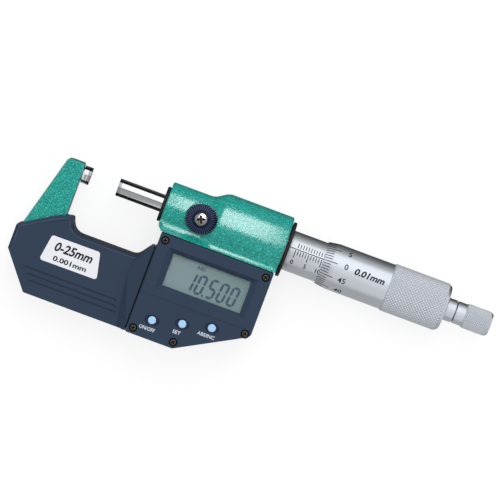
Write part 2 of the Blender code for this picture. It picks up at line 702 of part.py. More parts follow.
def build_anvil():
    start = -ANVIL_REACH - ANVIL_SHANK_L
    seat = -ANVIL_REACH + SEAT
    end = -TIP_L - SEAT
    turned("anvil", [(start, 0), (start, ANVIL_SHANK_R), (seat, ANVIL_SHANK_R), (seat, ANVIL_R),
                     (end, ANVIL_R), (end, 0)], "satin_steel", segments=COARSE)
    turned("anvil_tip", [(-TIP_L, 0), (-TIP_L, ANVIL_R), (0, ANVIL_R), (0, 0)], "carbide",
           segments=COARSE)


def build_spindle():
    tip = REST_GAP
    start = tip + TIP_L + SEAT
    turned("spindle_tip", [(tip, 0), (tip, SPINDLE_R), (tip + TIP_L, SPINDLE_R), (tip + TIP_L, 0)],
           "carbide")
    end = THIMBLE_END_X
    hole = RATCHET_SCREW_R + SEAT / 3
    hole_end = end - RATCHET_SCREW_GRIP - SEAT
    spindle = turned("spindle", [(start, 0), (start, SPINDLE_R), (SCREW_START_X, SPINDLE_R),
                                 (SCREW_START_X + THREAD_RUN_IN, SCREW_R), (TAPER_X, SCREW_R),
                                 (end, TAIL_R), (end, hole), (hole_end, hole), (hole_end, 0)],
                     "polished_steel")
    bm = bmesh.new()
    prism(bm, rectangle(((KEYWAY_X + KEYWAY_END_X) / 2, 0), KEYWAY_END_X - KEYWAY_X, KEYWAY_W),
          -SPINDLE_R - KEYWAY_DEPTH, -SPINDLE_R + KEYWAY_DEPTH)
    combine(spindle, tool("keyway", bm))


def build_guides():
    bore = SPINDLE_R + RUN
    start = BARREL_FRONT_X + SEAT
    bush = turned("spindle_bush", [(start, bore), (start, BUSH_R), (BUSH_END_X, BUSH_R),
                                   (BUSH_END_X, bore)], "satin_steel", segments=COARSE)
    drill(bush, "bush_side_hole", [(LOCK_X, 0)], CLAMP_R + RUN, 0, 2 * BUSH_R)
    ring_end = BARREL_FRONT_X - SEAT
    ring_start = ring_end - FRONT_RING_T
    edge = RING_EDGE
    turned("front_seal_ring", [(ring_start, bore), (ring_start, FRONT_RING_R - edge),
                               (ring_start + edge, FRONT_RING_R), (ring_end, FRONT_RING_R),
                               (ring_end, bore)], "black_rubber", segments=32)
    start = REAR_RING_X
    end = start + REAR_RING_T
    bore = SLEEVE_R + SEAT
    turned("rear_ring", [(start, bore), (start, REAR_RING_R), (end - edge, REAR_RING_R),
                         (end, REAR_RING_R - edge), (end, bore)], "black_rubber")


def build_encoder():
    bore = SPINDLE_R + RUN
    outer = ENCODER_R - SEAT
    turned("encoder_stator", [(STATOR_X, ROTOR_HUB_R), (STATOR_X, outer),
                              (STATOR_X + STATOR_T, outer),
                              (STATOR_X + STATOR_T, ROTOR_HUB_R)],
           "board", segments=COARSE)
    disc = ENCODER_R - 2 * SEAT
    hub_x = ROTOR_X + ROTOR_T
    rotor = turned("encoder_rotor", [(ROTOR_X, bore), (ROTOR_X, disc), (hub_x, disc),
                                     (hub_x, ROTOR_HUB_R), (ROTOR_END_X, ROTOR_HUB_R),
                                     (ROTOR_END_X, bore)], "brass", segments=COARSE)
    key_x = ROTOR_END_X - ROTOR_HUB_L / 2
    drill(rotor, "key_hole", [(key_x, 0)], KEYWAY_W / 2 + RUN, -2 * ROTOR_HUB_R, 0)
    key_low = -ROTOR_HUB_R + RUN
    key_top = -SPINDLE_R + KEYWAY_DEPTH - 3 * RUN
    pin = KEYWAY_W / 2 - RUN
    turned("rotor_key", [(key_low, 0), (key_low, pin), (key_top, pin), (key_top, 0)],
           "spring_steel", axis=None, at=(key_x, 0, 0), segments=SMALL)
    inner = ROTOR_HUB_R + RUN
    turned("rotor_bearing", [(BEARING_X, inner), (BEARING_X, outer), (ROTOR_END_X, outer),
                             (ROTOR_END_X, inner)], "brass", segments=COARSE)


# Sleeve, nut and thimble

def build_sleeve():
    inner = SLEEVE_R - SLEEVE_WALL
    edge = TURNED_EDGE
    turned("sleeve", [(SLEEVE_X, inner), (SLEEVE_X, SLEEVE_R), (SLEEVE_END_X - edge, SLEEVE_R),
                      (SLEEVE_END_X, SLEEVE_R - edge), (SLEEVE_END_X, inner)], "satin_steel")
    flange = ENCODER_R - SEAT
    bore = SCREW_R + NUT_BORE_GAP
    nut = SCREW_R + RUN
    nut_x = NUT_END_X - NUT_L
    turned("inner_nut_tube", [(NUT_FLANGE_X, bore), (NUT_FLANGE_X, flange),
                              (NUT_FLANGE_X + NUT_FLANGE_L, flange),
                              (NUT_FLANGE_X + NUT_FLANGE_L, NUT_TUBE_R), (NUT_END_X, NUT_TUBE_R),
                              (NUT_END_X, nut), (nut_x, nut), (nut_x, bore)],
           "satin_steel", segments=COARSE)
    ring = NUT_TUBE_R + SEAT / 2
    outer = SLEEVE_R - SEAT
    turned("adjusting_nut", [(ADJUSTER_X, ring), (ADJUSTER_X, outer),
                             (ADJUSTER_X + ADJUSTER_L, outer), (ADJUSTER_X + ADJUSTER_L, ring)],
           "brass", segments=COARSE)


def build_thimble():
    wall_x = THIMBLE_END_X - THIMBLE_END_WALL
    lip = THIMBLE_BORE_R + THIMBLE_LIP
    end_r = THIMBLE_GRIP_R - THIMBLE_END_CHAMFER
    taper = (SCREW_R - TAIL_R) / TAPER_L
    hole_in = SCREW_R - taper * (wall_x - TAPER_X) + SEAT / 3
    turned("thimble", [(THIMBLE_X, THIMBLE_BORE_R), (THIMBLE_X, lip),
                       (THIMBLE_X + THIMBLE_BEVEL_L, THIMBLE_R), (GRIP_X, THIMBLE_R),
                       (GRIP_X + THIMBLE_GRIP_STEP, THIMBLE_GRIP_R), (GRIP_END_X, THIMBLE_GRIP_R),
                       (THIMBLE_END_X, end_r), (THIMBLE_END_X, TAIL_R + SEAT / 3),
                       (wall_x, hole_in), (wall_x, THIMBLE_BORE_R)], "satin_steel")


# Ratchet

def toothed_ring(name, face_x, back_x, inner, outer, material=None, parent=None):
    """A ring with saw teeth on the face at face_x, which leans from the back at back_x."""
    bm = bmesh.new()
    away = 1 if face_x > back_x else -1
    per_tooth = 2
    rows = []
    count = RATCHET_TEETH * per_tooth
    for k in range(count):
        angle = 2 * math.pi * k / count
        drop = TOOTH_H * (k % per_tooth) / (per_tooth - 1)
        front = face_x - (TOOTH_H - drop if away > 0 else -drop)
        corners = [(back_x, inner), (back_x, outer), (front, outer), (front, inner)]
        rows.append([bm.verts.new((r * math.cos(angle), r * math.sin(angle), x))
                     for x, r in corners])
    for k in range(count):
        a = rows[k]
        b = rows[(k + 1) % count]
        for i in range(4):
            j = (i + 1) % 4
            bm.faces.new((a[i], a[j], b[j], b[i]))
    return add_object(name, bm, material, "X", parent=parent)


def coil(name, start, end, radius, wire, turns, material, parent=None):
    """A compression spring along X, as a bevelled helix."""
    curve = bpy.data.curves.new(name, "CURVE")
    curve.dimensions = "3D"
    curve.bevel_depth = wire
    curve.bevel_resolution = 1
    curve.use_fill_caps = True
    steps = int(turns * SPRING_STEPS)
    spline = curve.splines.new("POLY")
    spline.points.add(steps)
    for k in range(steps + 1):
        angle = 2 * math.pi * k / SPRING_STEPS
        x = start + wire + (end - start - 2 * wire) * k / steps
        spline.points[k].co = (x, radius * math.cos(angle), radius * math.sin(angle), 1)
    obj = bpy.data.objects.new(name, curve)
    bpy.context.scene.collection.objects.link(obj)
    curve.materials.append(finish(material))
    obj.parent = parent


def build_ratchet():
    bore = RATCHET_SCREW_R + RUN
    skirt = KNOB_NECK_R - KNOB_WALL
    edge = TURNED_EDGE
    base = turned("ratchet_base", [(RATCHET_BASE_X, skirt), (RATCHET_BASE_X, RATCHET_BASE_R - edge),
                                   (RATCHET_BASE_X + edge, RATCHET_BASE_R),
                                   (RATCHET_FACE_X - edge, RATCHET_BASE_R),
                                   (RATCHET_FACE_X, RATCHET_BASE_R - edge),
                                   (RATCHET_FACE_X, skirt)], "satin_steel", segments=24)
    teeth = toothed_ring("base_teeth", RATCHET_FACE_X, RATCHET_BASE_X + edge, bore, skirt + edge)
    teeth.hide_render = True
    teeth.display_type = "WIRE"
    combine(base, teeth, "UNION")
    screw_start = THIMBLE_END_X - RATCHET_SCREW_GRIP
    head_end = SCREW_HEAD_X + RATCHET_SCREW_HEAD_L
    screw = turned("ratchet_screw", [(screw_start, 0), (screw_start, RATCHET_SCREW_R),
                                     (SCREW_HEAD_X, RATCHET_SCREW_R),
                                     (SCREW_HEAD_X, RATCHET_SCREW_HEAD_R),
                                     (head_end, RATCHET_SCREW_HEAD_R), (head_end, 0)],
                   "satin_steel", segments=COARSE)
    bm = bmesh.new()
    slot = rectangle((head_end, 0), 2 * DRIVER_SLOT_DEPTH, 3 * RATCHET_SCREW_HEAD_R)
    prism(bm, slot, -DRIVER_SLOT_W / 2, DRIVER_SLOT_W / 2)
    combine(screw, tool("driver_slot", bm))

    neck_end = KNOB_X + KNOB_NECK_L
    web_end = KNOB_WEB_X + KNOB_WEB
    pocket = RATCHET_SCREW_HEAD_R + 2 * SEAT
    turned("ratchet_knob", [(KNOB_X, skirt), (KNOB_X, KNOB_NECK_R - edge),
                            (KNOB_X + edge, KNOB_NECK_R), (neck_end, KNOB_NECK_R),
                            (neck_end + edge, KNOB_R), (KNOB_END_X - KNOB_CHAMFER, KNOB_R),
                            (KNOB_END_X, KNOB_R - KNOB_CHAMFER), (KNOB_END_X, pocket),
                            (web_end, pocket), (web_end, bore), (KNOB_WEB_X, bore),
                            (KNOB_WEB_X, skirt)], "satin_steel", segments=32)
    disc_x = RATCHET_FACE_X + SEAT
    disc_end = disc_x + CLICK_DISC_T + TOOTH_H
    toothed_ring("click_disc", disc_x, disc_end, bore, skirt - SEAT, "spring_steel")
    coil("ratchet_spring", disc_end + SEAT, KNOB_WEB_X - SEAT,
         (RATCHET_SCREW_R + skirt) / 2, SPRING_WIRE_R, SPRING_TURNS, "spring_steel")


# Spindle lock

def build_lock():
    carrier = pivot("lock_axis", (LOCK_X, 0, 0))
    pad_z = SPINDLE_R + SEAT
    bolt_z = pad_z + PAD_L + SEAT
    top = LOCK_KNOB_Z + LOCK_H
    hub_top = top - LOCK_DISH
    turned("clamp_pad", [(pad_z, 0), (pad_z, PAD_R), (pad_z + PAD_L, PAD_R), (pad_z + PAD_L, 0)],
           "brass", axis=None, segments=SMALL, parent=carrier)
    hole = LOCK_SCREW_R + SEAT / 3
    bolt_top = hub_top - SEAT
    hole_low = bolt_top - LOCK_SCREW_L
    turned("clamp_bolt", [(bolt_z, 0), (bolt_z, CLAMP_R), (bolt_top, CLAMP_R), (bolt_top, hole),
                          (hole_low, hole), (hole_low, 0)],
           "satin_steel", axis=None, segments=COARSE, parent=carrier)
    bore = CLAMP_R + SEAT / 3
    rim_top = LOCK_KNOB_Z + LOCK_RIM_T
    turned("lock_knob", [(LOCK_KNOB_Z, bore), (LOCK_KNOB_Z, LOCK_R - LOCK_EDGE),
                         (LOCK_KNOB_Z + LOCK_EDGE, LOCK_R), (rim_top, LOCK_R),
                         (top, LOCK_INNER_R + LOCK_EDGE), (top, LOCK_INNER_R),
                         (hub_top, LOCK_SCREW_HEAD_R), (hub_top, bore)],
           "navy_plastic", axis=None, parent=carrier)
    head_z = hub_top + SEAT
    head_top = head_z + LOCK_SCREW_HEAD_H
    shank_low = hole_low + SEAT
    head = LOCK_SCREW_HEAD_R
    turned("lock_screw", [(shank_low, 0), (shank_low, LOCK_SCREW_R), (head_z, LOCK_SCREW_R),
                          (head_z, head), (head_z + LOCK_SCREW_RIM_H, head),
                          (head_top - LOCK_SCREW_CROWN, head * 0.8),
                          (head_top, head * 0.4), (head_top, 0)],
           "polished_steel", axis=None, segments=COARSE, parent=carrier)


# Insulating covers

def build_cover(name, side):
    """One half of the insulating cover; side is +1 at the front and -1 at the back."""
    bm = bmesh.new()
    top = prism(bm, rounded(list(COVER.values())), SEAT / 2, COVER_HALF)
    low = BOTTOM_Y + 0.1 * MM
    diagonal_y = COVER["left_foot"][1]

    def eased(p):
        on_top = abs(p.z - COVER_HALF) < 1e-6
        lower_edge = p.y < low or (p.y < diagonal_y and p.x < COVER["foot"][0])
        return on_top and not lower_edge and p.x < COVER_RIGHT_X - 1e-5
    ease_rim(bm, top, COVER_CHAMFER, keep=eased)
    bmesh.ops.scale(bm, vec=(1, 1, side), verts=bm.verts)
    cover = add_object(name, bm, "navy_plastic")

    edge_x = COVER_RIGHT_X
    foot_x = RIB_RIGHT_X + SLOPE_FOOT_PAST_RIBS
    foot_y = BOTTOM_Y + SLOPE_FOOT_UP
    throat_x = KNEE_X + KNEE_SPREAD
    high = COVER_RISE_Z
    horn = COVER["horn"]
    shape = [(KNEE_X, KNEE_Y, COVER_HALF - SEAT), (foot_x, foot_y, COVER_HALF - SEAT),
             (edge_x, foot_y, high), (edge_x, horn[1] - 1.8 * MM, high),
             (edge_x, BOTTOM_Y, high - 1.0 * MM), (foot_x + 1.0 * MM, BOTTOM_Y, COVER_HALF - 1.0 * MM),
             (edge_x, horn[1] + 0.3 * MM, high - 1.4 * MM), (horn[0], horn[1], high - 1.9 * MM),
             (throat_x, THROAT_Y, COVER_HALF - COVER_CHAMFER - SEAT)]
    base_z = COVER_HALF - SLOPE_DEPTH
    base = [(KNEE_X, KNEE_Y), (foot_x, BOTTOM_Y), (edge_x, BOTTOM_Y), (edge_x, horn[1]),
            (horn[0], horn[1]), (throat_x, THROAT_Y)]
    bm = bmesh.new()
    for x, y, z in shape:
        bm.verts.new((x, y, z * side))
    for x, y in base:
        bm.verts.new((x, y, base_z * side))
    bmesh.ops.convex_hull(bm, input=bm.verts)
    wedge = tool(name + "_wedge", bm)
    bm = bmesh.new()
    reach = 2 * COVER_RISE_Z
    prism(bm, rounded(moved_in(list(COVER.values()), 0.02 * MM)), -reach, reach)
    combine(wedge, tool(name + "_bounds", bm), "INTERSECT")
    combine(cover, wedge, "UNION")

    inside = sorted((-side * 1.0 * MM, side * (ARM_HALF + SEAT)))
    cut_prism(cover, name + "_cavity", rounded(strap_corners(SEAT)), *inside)
    bm = bmesh.new()
    for k in range(RIB_COUNT):
        y = RIB_TOP_Y - k * RIB_PITCH
        left = RIB_LEFT_X + k * 0.8 * RIB_PITCH
        right = RIB_RIGHT_X + k * 0.2 * RIB_PITCH
        groove_r = (RIB_W * RIB_W / 4 + RIB_DEPTH * RIB_DEPTH) / (2 * RIB_DEPTH)
        middle = Matrix.Translation((0, y, side * (COVER_HALF - RIB_DEPTH + groove_r)))
        turn_profile(bm, [(left, 0), (left + RIB_W, groove_r), (right, groove_r), (right, 0)],
                     COARSE, middle @ ALONG_X)
    combine(cover, tool(name + "_ribs", bm))
    return cover


def build_covers():
    front = build_cover("insulator_front", 1)
    pocket = moved_in(LABEL, -LABEL_FIT)
    cut_prism(front, "label_pocket", rounded(pocket), COVER_HALF - LABEL_POCKET,
              COVER_HALF + 1.0 * MM)
    floor = COVER_HALF - LABEL_POCKET + SEAT
    extruded("label_plate", rounded(LABEL), floor, floor + LABEL_T, "label_white")
    rear = build_cover("insulator_rear", -1)
    head_z = -COVER_HALF + COVER_SCREW_SINK
    drill(rear, "cover_screw_pockets", COVER_SCREWS, COVER_SCREW_HEAD_R + SEAT,
          -COVER_HALF - PAST, head_z, COARSE)
    drill(rear, "cover_screw_clearance", COVER_SCREWS, COVER_SCREW_R + SEAT / 3,
          head_z - COVER_SCREW_SINK / 2, -ARM_HALF + PAST)
    for k, place in enumerate(COVER_SCREWS):
        low = head_z - SEAT - COVER_SCREW_HEAD_H
        top = -ARM_HALF + COVER_SCREW_GRIP
        turned("cover_screw_%d" % (k + 1),
               [(low, 0), (low, COVER_SCREW_HEAD_R), (head_z - SEAT, COVER_SCREW_HEAD_R),
                (head_z - SEAT, COVER_SCREW_R), (top, COVER_SCREW_R), (top, 0)],
               "dark_screw", axis=None, at=(place[0], place[1], 0), segments=SMALL)


# Display housing

def panel_z(y):
    """Height of the housing's front at y; the button panel falls back below its crease."""
    below = max(0.0, PANEL_Y - y)
    return HOUSING_FRONT_Z - PANEL_DROP * below / (PANEL_Y - BOTTOM_Y)


def clear_of_casting(shell, name):
    reach = WEB_HALF + SEAT
    top = web_corners(SEAT)
    top[3] = (top[3][0], FLANGE_Y + 2.0 * MM, 0.0)
    top[4] = (top[4][0], FLANGE_Y + 2.0 * MM, 0.0)
    cut_prism(shell, name + "_web_slot", rounded(top), -reach, reach)
    reach = ARM_HALF + SEAT
    cut_prism(shell, name + "_strap_slot", rounded(strap_corners(SEAT)), -reach, reach)


def build_housing_front():
    low = GASKET_T / 2 + SEAT
    bm = bmesh.new()
    top = prism(bm, rounded(HOUSING), low, HOUSING_FRONT_Z)
    ease_rim(bm, top, HOUSING_EDGE, keep=lambda p: abs(p.z - HOUSING_FRONT_Z) < 1e-6)
    shell = add_object("housing_front", bm, "navy_plastic")

    far = BOTTOM_Y - PAST
    bm = bmesh.new()
    section = [(PANEL_Y, HOUSING_FRONT_Z), (far, panel_z(far)), (far, HOUSING_FRONT_Z + PAST),
               (PANEL_Y, HOUSING_FRONT_Z + PAST)]
    loft(bm, [[(x, y, z) for y, z in section]
              for x in (HOUSING_LEFT_X - PAST, HOUSING_RIGHT_X + PAST)])
    combine(shell, tool("panel_slope", bm))

    cut_prism(shell, "front_cavity", rounded(moved_in(HOUSING, HOUSING_WALL)), -PAST, FRONT_INNER_Z)
    drill(shell, "front_bosses", HOUSING_SCREWS, BOSS_R, WEB_HALF + 2 * SEAT,
          FRONT_INNER_Z + BOSS_LAP, operation="UNION")
    clear_of_casting(shell, "front")

    middle = (WINDOW_X, WINDOW_Y)
    inner = rectangle(middle, WINDOW_W, WINDOW_H)
    outer = rectangle(middle, WINDOW_FRAME_W, WINDOW_FRAME_H)
    levels = ((FRONT_INNER_Z - PAST, inner), (FRONT_INNER_Z, inner), (HOUSING_FRONT_Z, outer),
              (HOUSING_FRONT_Z + PAST, outer))
    bm = bmesh.new()
    loft(bm, [[(p.x, p.y, z) for p in outline] for z, outline in levels])
    combine(shell, tool("window_opening", bm))

    for k, (x, y) in enumerate(HOUSING_SCREWS):
        floor = panel_z(y) - SCREW_HEAD_H - 2 * SEAT
        drill(shell, "screw_pocket_%d" % (k + 1), [(x, y)], SCREW_HEAD_R + SEAT,
              floor, HOUSING_FRONT_Z + PAST)
    drill(shell, "screw_clearance", HOUSING_SCREWS, SCREW_SHANK_R + SEAT / 2, 0,
          HOUSING_FRONT_Z - SCREW_HEAD_H)
    drill(shell, "button_holes", BUTTONS.values(), BUTTON_R + RUN, FRONT_INNER_Z - PAST,
          HOUSING_FRONT_Z + PAST, COARSE)
    for name, place in BUTTONS.items():
        floor = panel_z(place[1]) - BEZEL_POCKET
        cut_prism(shell, name + "_recess", ellipse(place, BEZEL_RX, BEZEL_RY), floor,
                  HOUSING_FRONT_Z + PAST)


def build_housing_rear():
    top = -GASKET_T / 2 - SEAT
    bm = bmesh.new()
    verts = prism(bm, rounded(HOUSING), top, REST_Z)
    ease_rim(bm, verts, HOUSING_EDGE, keep=lambda p: abs(p.z - REST_Z) < 1e-6)
    shell = add_object("housing_rear", bm, "navy_plastic")
    cut_prism(shell, "rear_cavity", rounded(moved_in(HOUSING, HOUSING_WALL)), REAR_INNER_Z, PAST)
    drill(shell, "rear_bosses", HOUSING_SCREWS, BOSS_R, REAR_INNER_Z - BOSS_LAP,
          -WEB_HALF - 2 * SEAT, operation="UNION")
    drill(shell, "battery_well", [(BATTERY_X, BATTERY_Y)], CAP_R + WELL_WALL,
          REAR_INNER_Z - BOSS_LAP, BATTERY_Z + BATTERY_T - SEAT, FINE, "UNION")
    clear_of_casting(shell, "rear")
    cut_turned(shell, "battery_bore", [(REST_Z - PAST, 0), (REST_Z - PAST, CAP_R + RUN),
                                       (CAP_SEAT_Z, CAP_R + RUN), (CAP_SEAT_Z, WELL_R),
                                       (0, WELL_R), (0, 0)],
               Matrix.Translation((BATTERY_X, BATTERY_Y, 0)))
    drill(shell, "rear_screw_holes", HOUSING_SCREWS, SCREW_SHANK_R + SEAT / 3,
          REAR_INNER_Z + 1.0 * MM, PAST)


def build_gasket():
    bm = bmesh.new()
    prism(bm, rounded(moved_in(HOUSING, SEAT)), -GASKET_T / 2, GASKET_T / 2)
    gasket = add_object("housing_gasket", bm, "black_rubber")
    cut_prism(gasket, "gasket_opening", rounded(moved_in(HOUSING, SEAT + GASKET_W)),
              -GASKET_T, GASKET_T)
    clear_of_casting(gasket, "gasket")
    # the seal starts below the strap and ends at the top of the right side
    corner = rectangle((HOUSING_LEFT_X, HOUSING_TOP_Y), 2 * GASKET_START, -2 * THROAT_Y)
    cut_prism(gasket, "gasket_start", corner, -GASKET_T, GASKET_T)
    drill(gasket, "gasket_screw_holes", HOUSING_SCREWS, SCREW_SHANK_R + SEAT / 3, -GASKET_T,
          GASKET_T)


def build_display():
    middle = (WINDOW_X, WINDOW_Y)
    width = WINDOW_W + 2 * LENS_LAP
    height = WINDOW_H + 2 * LENS_LAP
    extruded("window_lens", rectangle(middle, width, height), LENS_Z, LENS_Z + LENS_T, "window")
    extruded("display_glass", rectangle(middle, width, height), GLASS_Z, GLASS_Z + GLASS_T,
             "display")
    outer = 2 * (SEAT + HOLDER_WALL)
    bm = bmesh.new()
    prism(bm, rectangle(middle, width + outer, height + outer), ZEBRA_Z, LENS_Z + LENS_T)
    holder = add_object("display_holder", bm, "dark_plastic")
    cut_prism(holder, "holder_opening", rectangle(middle, width + 2 * SEAT, height + 2 * SEAT),
              ZEBRA_Z - LENS_T, LENS_Z + 2 * LENS_T)
    for name, side in (("contact_strip_upper", 1), ("contact_strip_lower", -1)):
        y = WINDOW_Y + side * (height - ZEBRA_W) / 2
        extruded(name, rectangle((WINDOW_X, y), width - 2 * SEAT, ZEBRA_W), ZEBRA_Z,
                 ZEBRA_Z + ZEBRA_T, "black_rubber")
    extruded("circuit_board", rounded(moved_in(HOUSING, BOARD_INSET)), BOARD_Z, BOARD_TOP_Z,
             "board")


def build_buttons():
    for name, (x, y) in BUTTONS.items():
        top = panel_z(y) + BUTTON_PROUD
        shoulder = FRONT_INNER_Z - SEAT
        flange = shoulder - BUTTON_FLANGE_T
        foot = BOARD_TOP_Z + SEAT + SWITCH_T + SEAT + BUTTON_STROKE
        edge = BUTTON_EDGE
        carrier = pivot(name + "_axis", (x, y, 0))
        turned(name, [(foot, 0), (foot, BUTTON_STEM_R), (flange, BUTTON_STEM_R),
                      (flange, BUTTON_FLANGE_R), (shoulder, BUTTON_FLANGE_R), (shoulder, BUTTON_R),
                      (top - edge, BUTTON_R), (top, BUTTON_R - 2 * edge), (top, 0)],
               "button_plastic", axis=None, segments=COARSE, parent=carrier)
        low = panel_z(y) - BEZEL_POCKET + SEAT / 2
        bezel = extruded(name.replace("button", "bezel"),
                         ellipse((x, y), BEZEL_RX - LABEL_FIT, BEZEL_RY - LABEL_FIT), low,
                         low + BEZEL_T, "dark_plastic")
        drill(bezel, name + "_bezel_hole", [(x, y)], BUTTON_R + RUN, low - BEZEL_T,
              low + 2 * BEZEL_T, COARSE)
        low = BOARD_TOP_Z + SEAT
        turned(name.replace("button", "switch"),
               [(low, 0), (low, SWITCH_R), (low + SWITCH_T / 2, SWITCH_R),
                (low + SWITCH_T, SWITCH_R / 2), (low + SWITCH_T, 0)],
               "satin_steel", axis=None, at=(x, y, 0), segments=SMALL)


def build_housing_screws():
    for k, (x, y) in enumerate(HOUSING_SCREWS):
        under = panel_z(y) - SCREW_HEAD_H - SEAT
        top = under + SCREW_HEAD_H
        low = under - SCREW_SHANK_L
        turned("housing_screw_%d" % (k + 1),
               [(low, 0), (low, SCREW_SHANK_R), (under, SCREW_SHANK_R), (under, SCREW_HEAD_R),
                (top - SCREW_HEAD_EDGE, SCREW_HEAD_R), (top, SCREW_HEAD_R * 0.75), (top, 0)],
               "dark_screw", axis=None, at=(x, y, 0), segments=SMALL)


def build_battery():
    at = (BATTERY_X, BATTERY_Y, 0)
    top = BATTERY_Z + BATTERY_T
    edge = BATTERY_EDGE
    turned("battery", [(BATTERY_Z, 0), (BATTERY_Z, BATTERY_R - edge), (BATTERY_Z + edge, BATTERY_R),
                       (top - edge, BATTERY_R), (top, BATTERY_R - edge), (top, 0)],
           "polished_steel", axis=None, at=at, segments=COARSE)
    carrier = pivot("battery_cap_axis", at)
    disc_low = REST_Z + SEAT
    disc_top = disc_low + CAP_T
    spigot = WELL_R - RUN
    cap = turned("battery_cap", [(disc_low, 0), (disc_low, CAP_R - CAP_EDGE),
                                 (disc_low + CAP_EDGE, CAP_R), (disc_top, CAP_R),
                                 (disc_top, spigot), (SPIGOT_TOP_Z, spigot), (SPIGOT_TOP_Z, 0)],
                 "navy_plastic", axis=None, parent=carrier)
    bm = bmesh.new()
    prism(bm, rectangle((0, 0), COIN_SLOT_L, COIN_SLOT_W), disc_low - PAST,
          disc_low + COIN_SLOT_DEPTH)
    slot = tool("coin_slot", bm)
    slot.parent = carrier
    combine(cap, slot)
    foot = top + SEAT
    head = -WEB_HALF - SEAT
    half = CONTACT_L / 2
    bend = CONTACT_FOOT_L
    path = [(-half, head), (-half + bend, head), (0, foot + CONTACT_T), (half - bend, head),
            (half, head)]
    under = [(x, z - CONTACT_T) for x, z in reversed(path)]
    bm = bmesh.new()
    section = path + under
    loft(bm, [[(BATTERY_X + x, BATTERY_Y + y, z) for x, z in section]
              for y in (-CONTACT_W / 2, CONTACT_W / 2)])
    add_object("battery_contact", bm, "spring_steel")


def clear_scene():
    for obj in list(bpy.data.objects):
        bpy.data.objects.remove(obj, do_unlink=True)


def main():
    clear_scene()
    build_frame()
    build_anvil()
    build_spindle()
    build_guides()
    build_encoder()
    build_sleeve()
    build_thimble()
    build_ratchet()
    build_lock()
    build_covers()
    build_housing_front()
    build_housing_rear()
    build_gasket()
    build_display()
    build_buttons()
    build_housing_screws()
    build_battery()


main()
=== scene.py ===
# Looks of the digital outside micrometer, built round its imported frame.
# +X runs along the spindle towards the ratchet, +Y up the face of the display and
# +Z out of it. The anvil's measuring face is at the origin, and lengths are in metres.
import json
import math

import bmesh
import bpy
from mathutils import Matrix, Vector


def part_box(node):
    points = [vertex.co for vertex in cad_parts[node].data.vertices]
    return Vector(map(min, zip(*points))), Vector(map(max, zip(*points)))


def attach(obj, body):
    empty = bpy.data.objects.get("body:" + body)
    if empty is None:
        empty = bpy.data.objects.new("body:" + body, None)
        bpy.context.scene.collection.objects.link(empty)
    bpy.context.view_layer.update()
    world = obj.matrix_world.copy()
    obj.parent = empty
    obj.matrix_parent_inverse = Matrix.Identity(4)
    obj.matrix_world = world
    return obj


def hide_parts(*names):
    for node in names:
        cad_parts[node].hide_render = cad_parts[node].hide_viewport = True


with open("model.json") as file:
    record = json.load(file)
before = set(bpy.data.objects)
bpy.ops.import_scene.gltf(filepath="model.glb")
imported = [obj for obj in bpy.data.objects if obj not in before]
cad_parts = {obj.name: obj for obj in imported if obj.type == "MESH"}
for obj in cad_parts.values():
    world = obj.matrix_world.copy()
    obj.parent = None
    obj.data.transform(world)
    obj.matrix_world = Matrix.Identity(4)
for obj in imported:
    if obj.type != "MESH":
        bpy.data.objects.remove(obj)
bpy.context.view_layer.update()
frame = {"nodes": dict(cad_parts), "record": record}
nodes = frame["nodes"]

MM = 0.001

# Places that the frame gives
REST_GAP = 10.5 * MM
SPINDLE_R = 3.25 * MM
THREAD_R = 3.9 * MM
THREAD_PITCH = 0.5 * MM
THREAD_DEPTH = 0.28 * MM
SLEEVE_R = 7.4 * MM
ZERO_X = 78.1 * MM
THIMBLE_X = ZERO_X + REST_GAP
BEVEL_END_X = THIMBLE_X + 4.2 * MM
GRIP_X = THIMBLE_X + 25.2 * MM
GRIP_END_X = GRIP_X + 21.2 * MM
THIMBLE_END_X = GRIP_END_X + 1.0 * MM
THIMBLE_LIP_R = 7.85 * MM
THIMBLE_BORE_R = 7.55 * MM
THIMBLE_R = 8.5 * MM
GRIP_R = 9.0 * MM
KNOB_X = 140.0 * MM
KNOB_END_X = KNOB_X + 13.4 * MM
LOCK_X = 42.5 * MM
LOCK_Z = 7.6 * MM
LOCK_R = 5.65 * MM
PANEL_Y = -31.4 * MM
FOOT_Y = -47.0 * MM
HOUSING_Z = 11.5 * MM
PANEL_DROP = 1.0 * MM
REST_Z = -11.4 * MM
INDEX_ANGLE = math.radians(13.0)

FONT = bpy.data.fonts.get("Bfont")
WHITE = (1, 1, 1, 1)
BUTTONS = ("on_off", "set", "abs")
# Sides of turned pieces
ROUND_LARGE = 128
ROUND = 96
ROUND_SMALL = 48


def linear(channel):
    value = channel / 255.0
    return value / 12.92 if value <= 0.04045 else ((value + 0.055) / 1.055) ** 2.4


def rgb(red, green, blue):
    return (linear(red), linear(green), linear(blue), 1.0)


# Materials

def node(tree, kind, **settings):
    made = tree.nodes.new(kind)
    for key, value in settings.items():
        setattr(made, key, value)
    return made


def put(made, **values):
    """Set sockets by name, with underscores for spaces."""
    for key, value in values.items():
        made.inputs[key.replace("_", " ")].default_value = value
    return made


def mix_colours(tree, factor, first, second):
    made = node(tree, "ShaderNodeMix", data_type="RGBA")
    tree.links.new(factor, made.inputs["Factor"])
    made.inputs["A"].default_value = first
    made.inputs["B"].default_value = second
    return made.outputs["Result"]


def multiply(tree, factor, first, second):
    """Multiply one colour by another, as far as the factor says."""
    made = node(tree, "ShaderNodeMix", data_type="RGBA", blend_type="MULTIPLY")
    made.inputs["Factor"].default_value = factor
    tree.links.new(first, made.inputs["A"])
    tree.links.new(second, made.inputs["B"])
    return made.outputs["Result"]


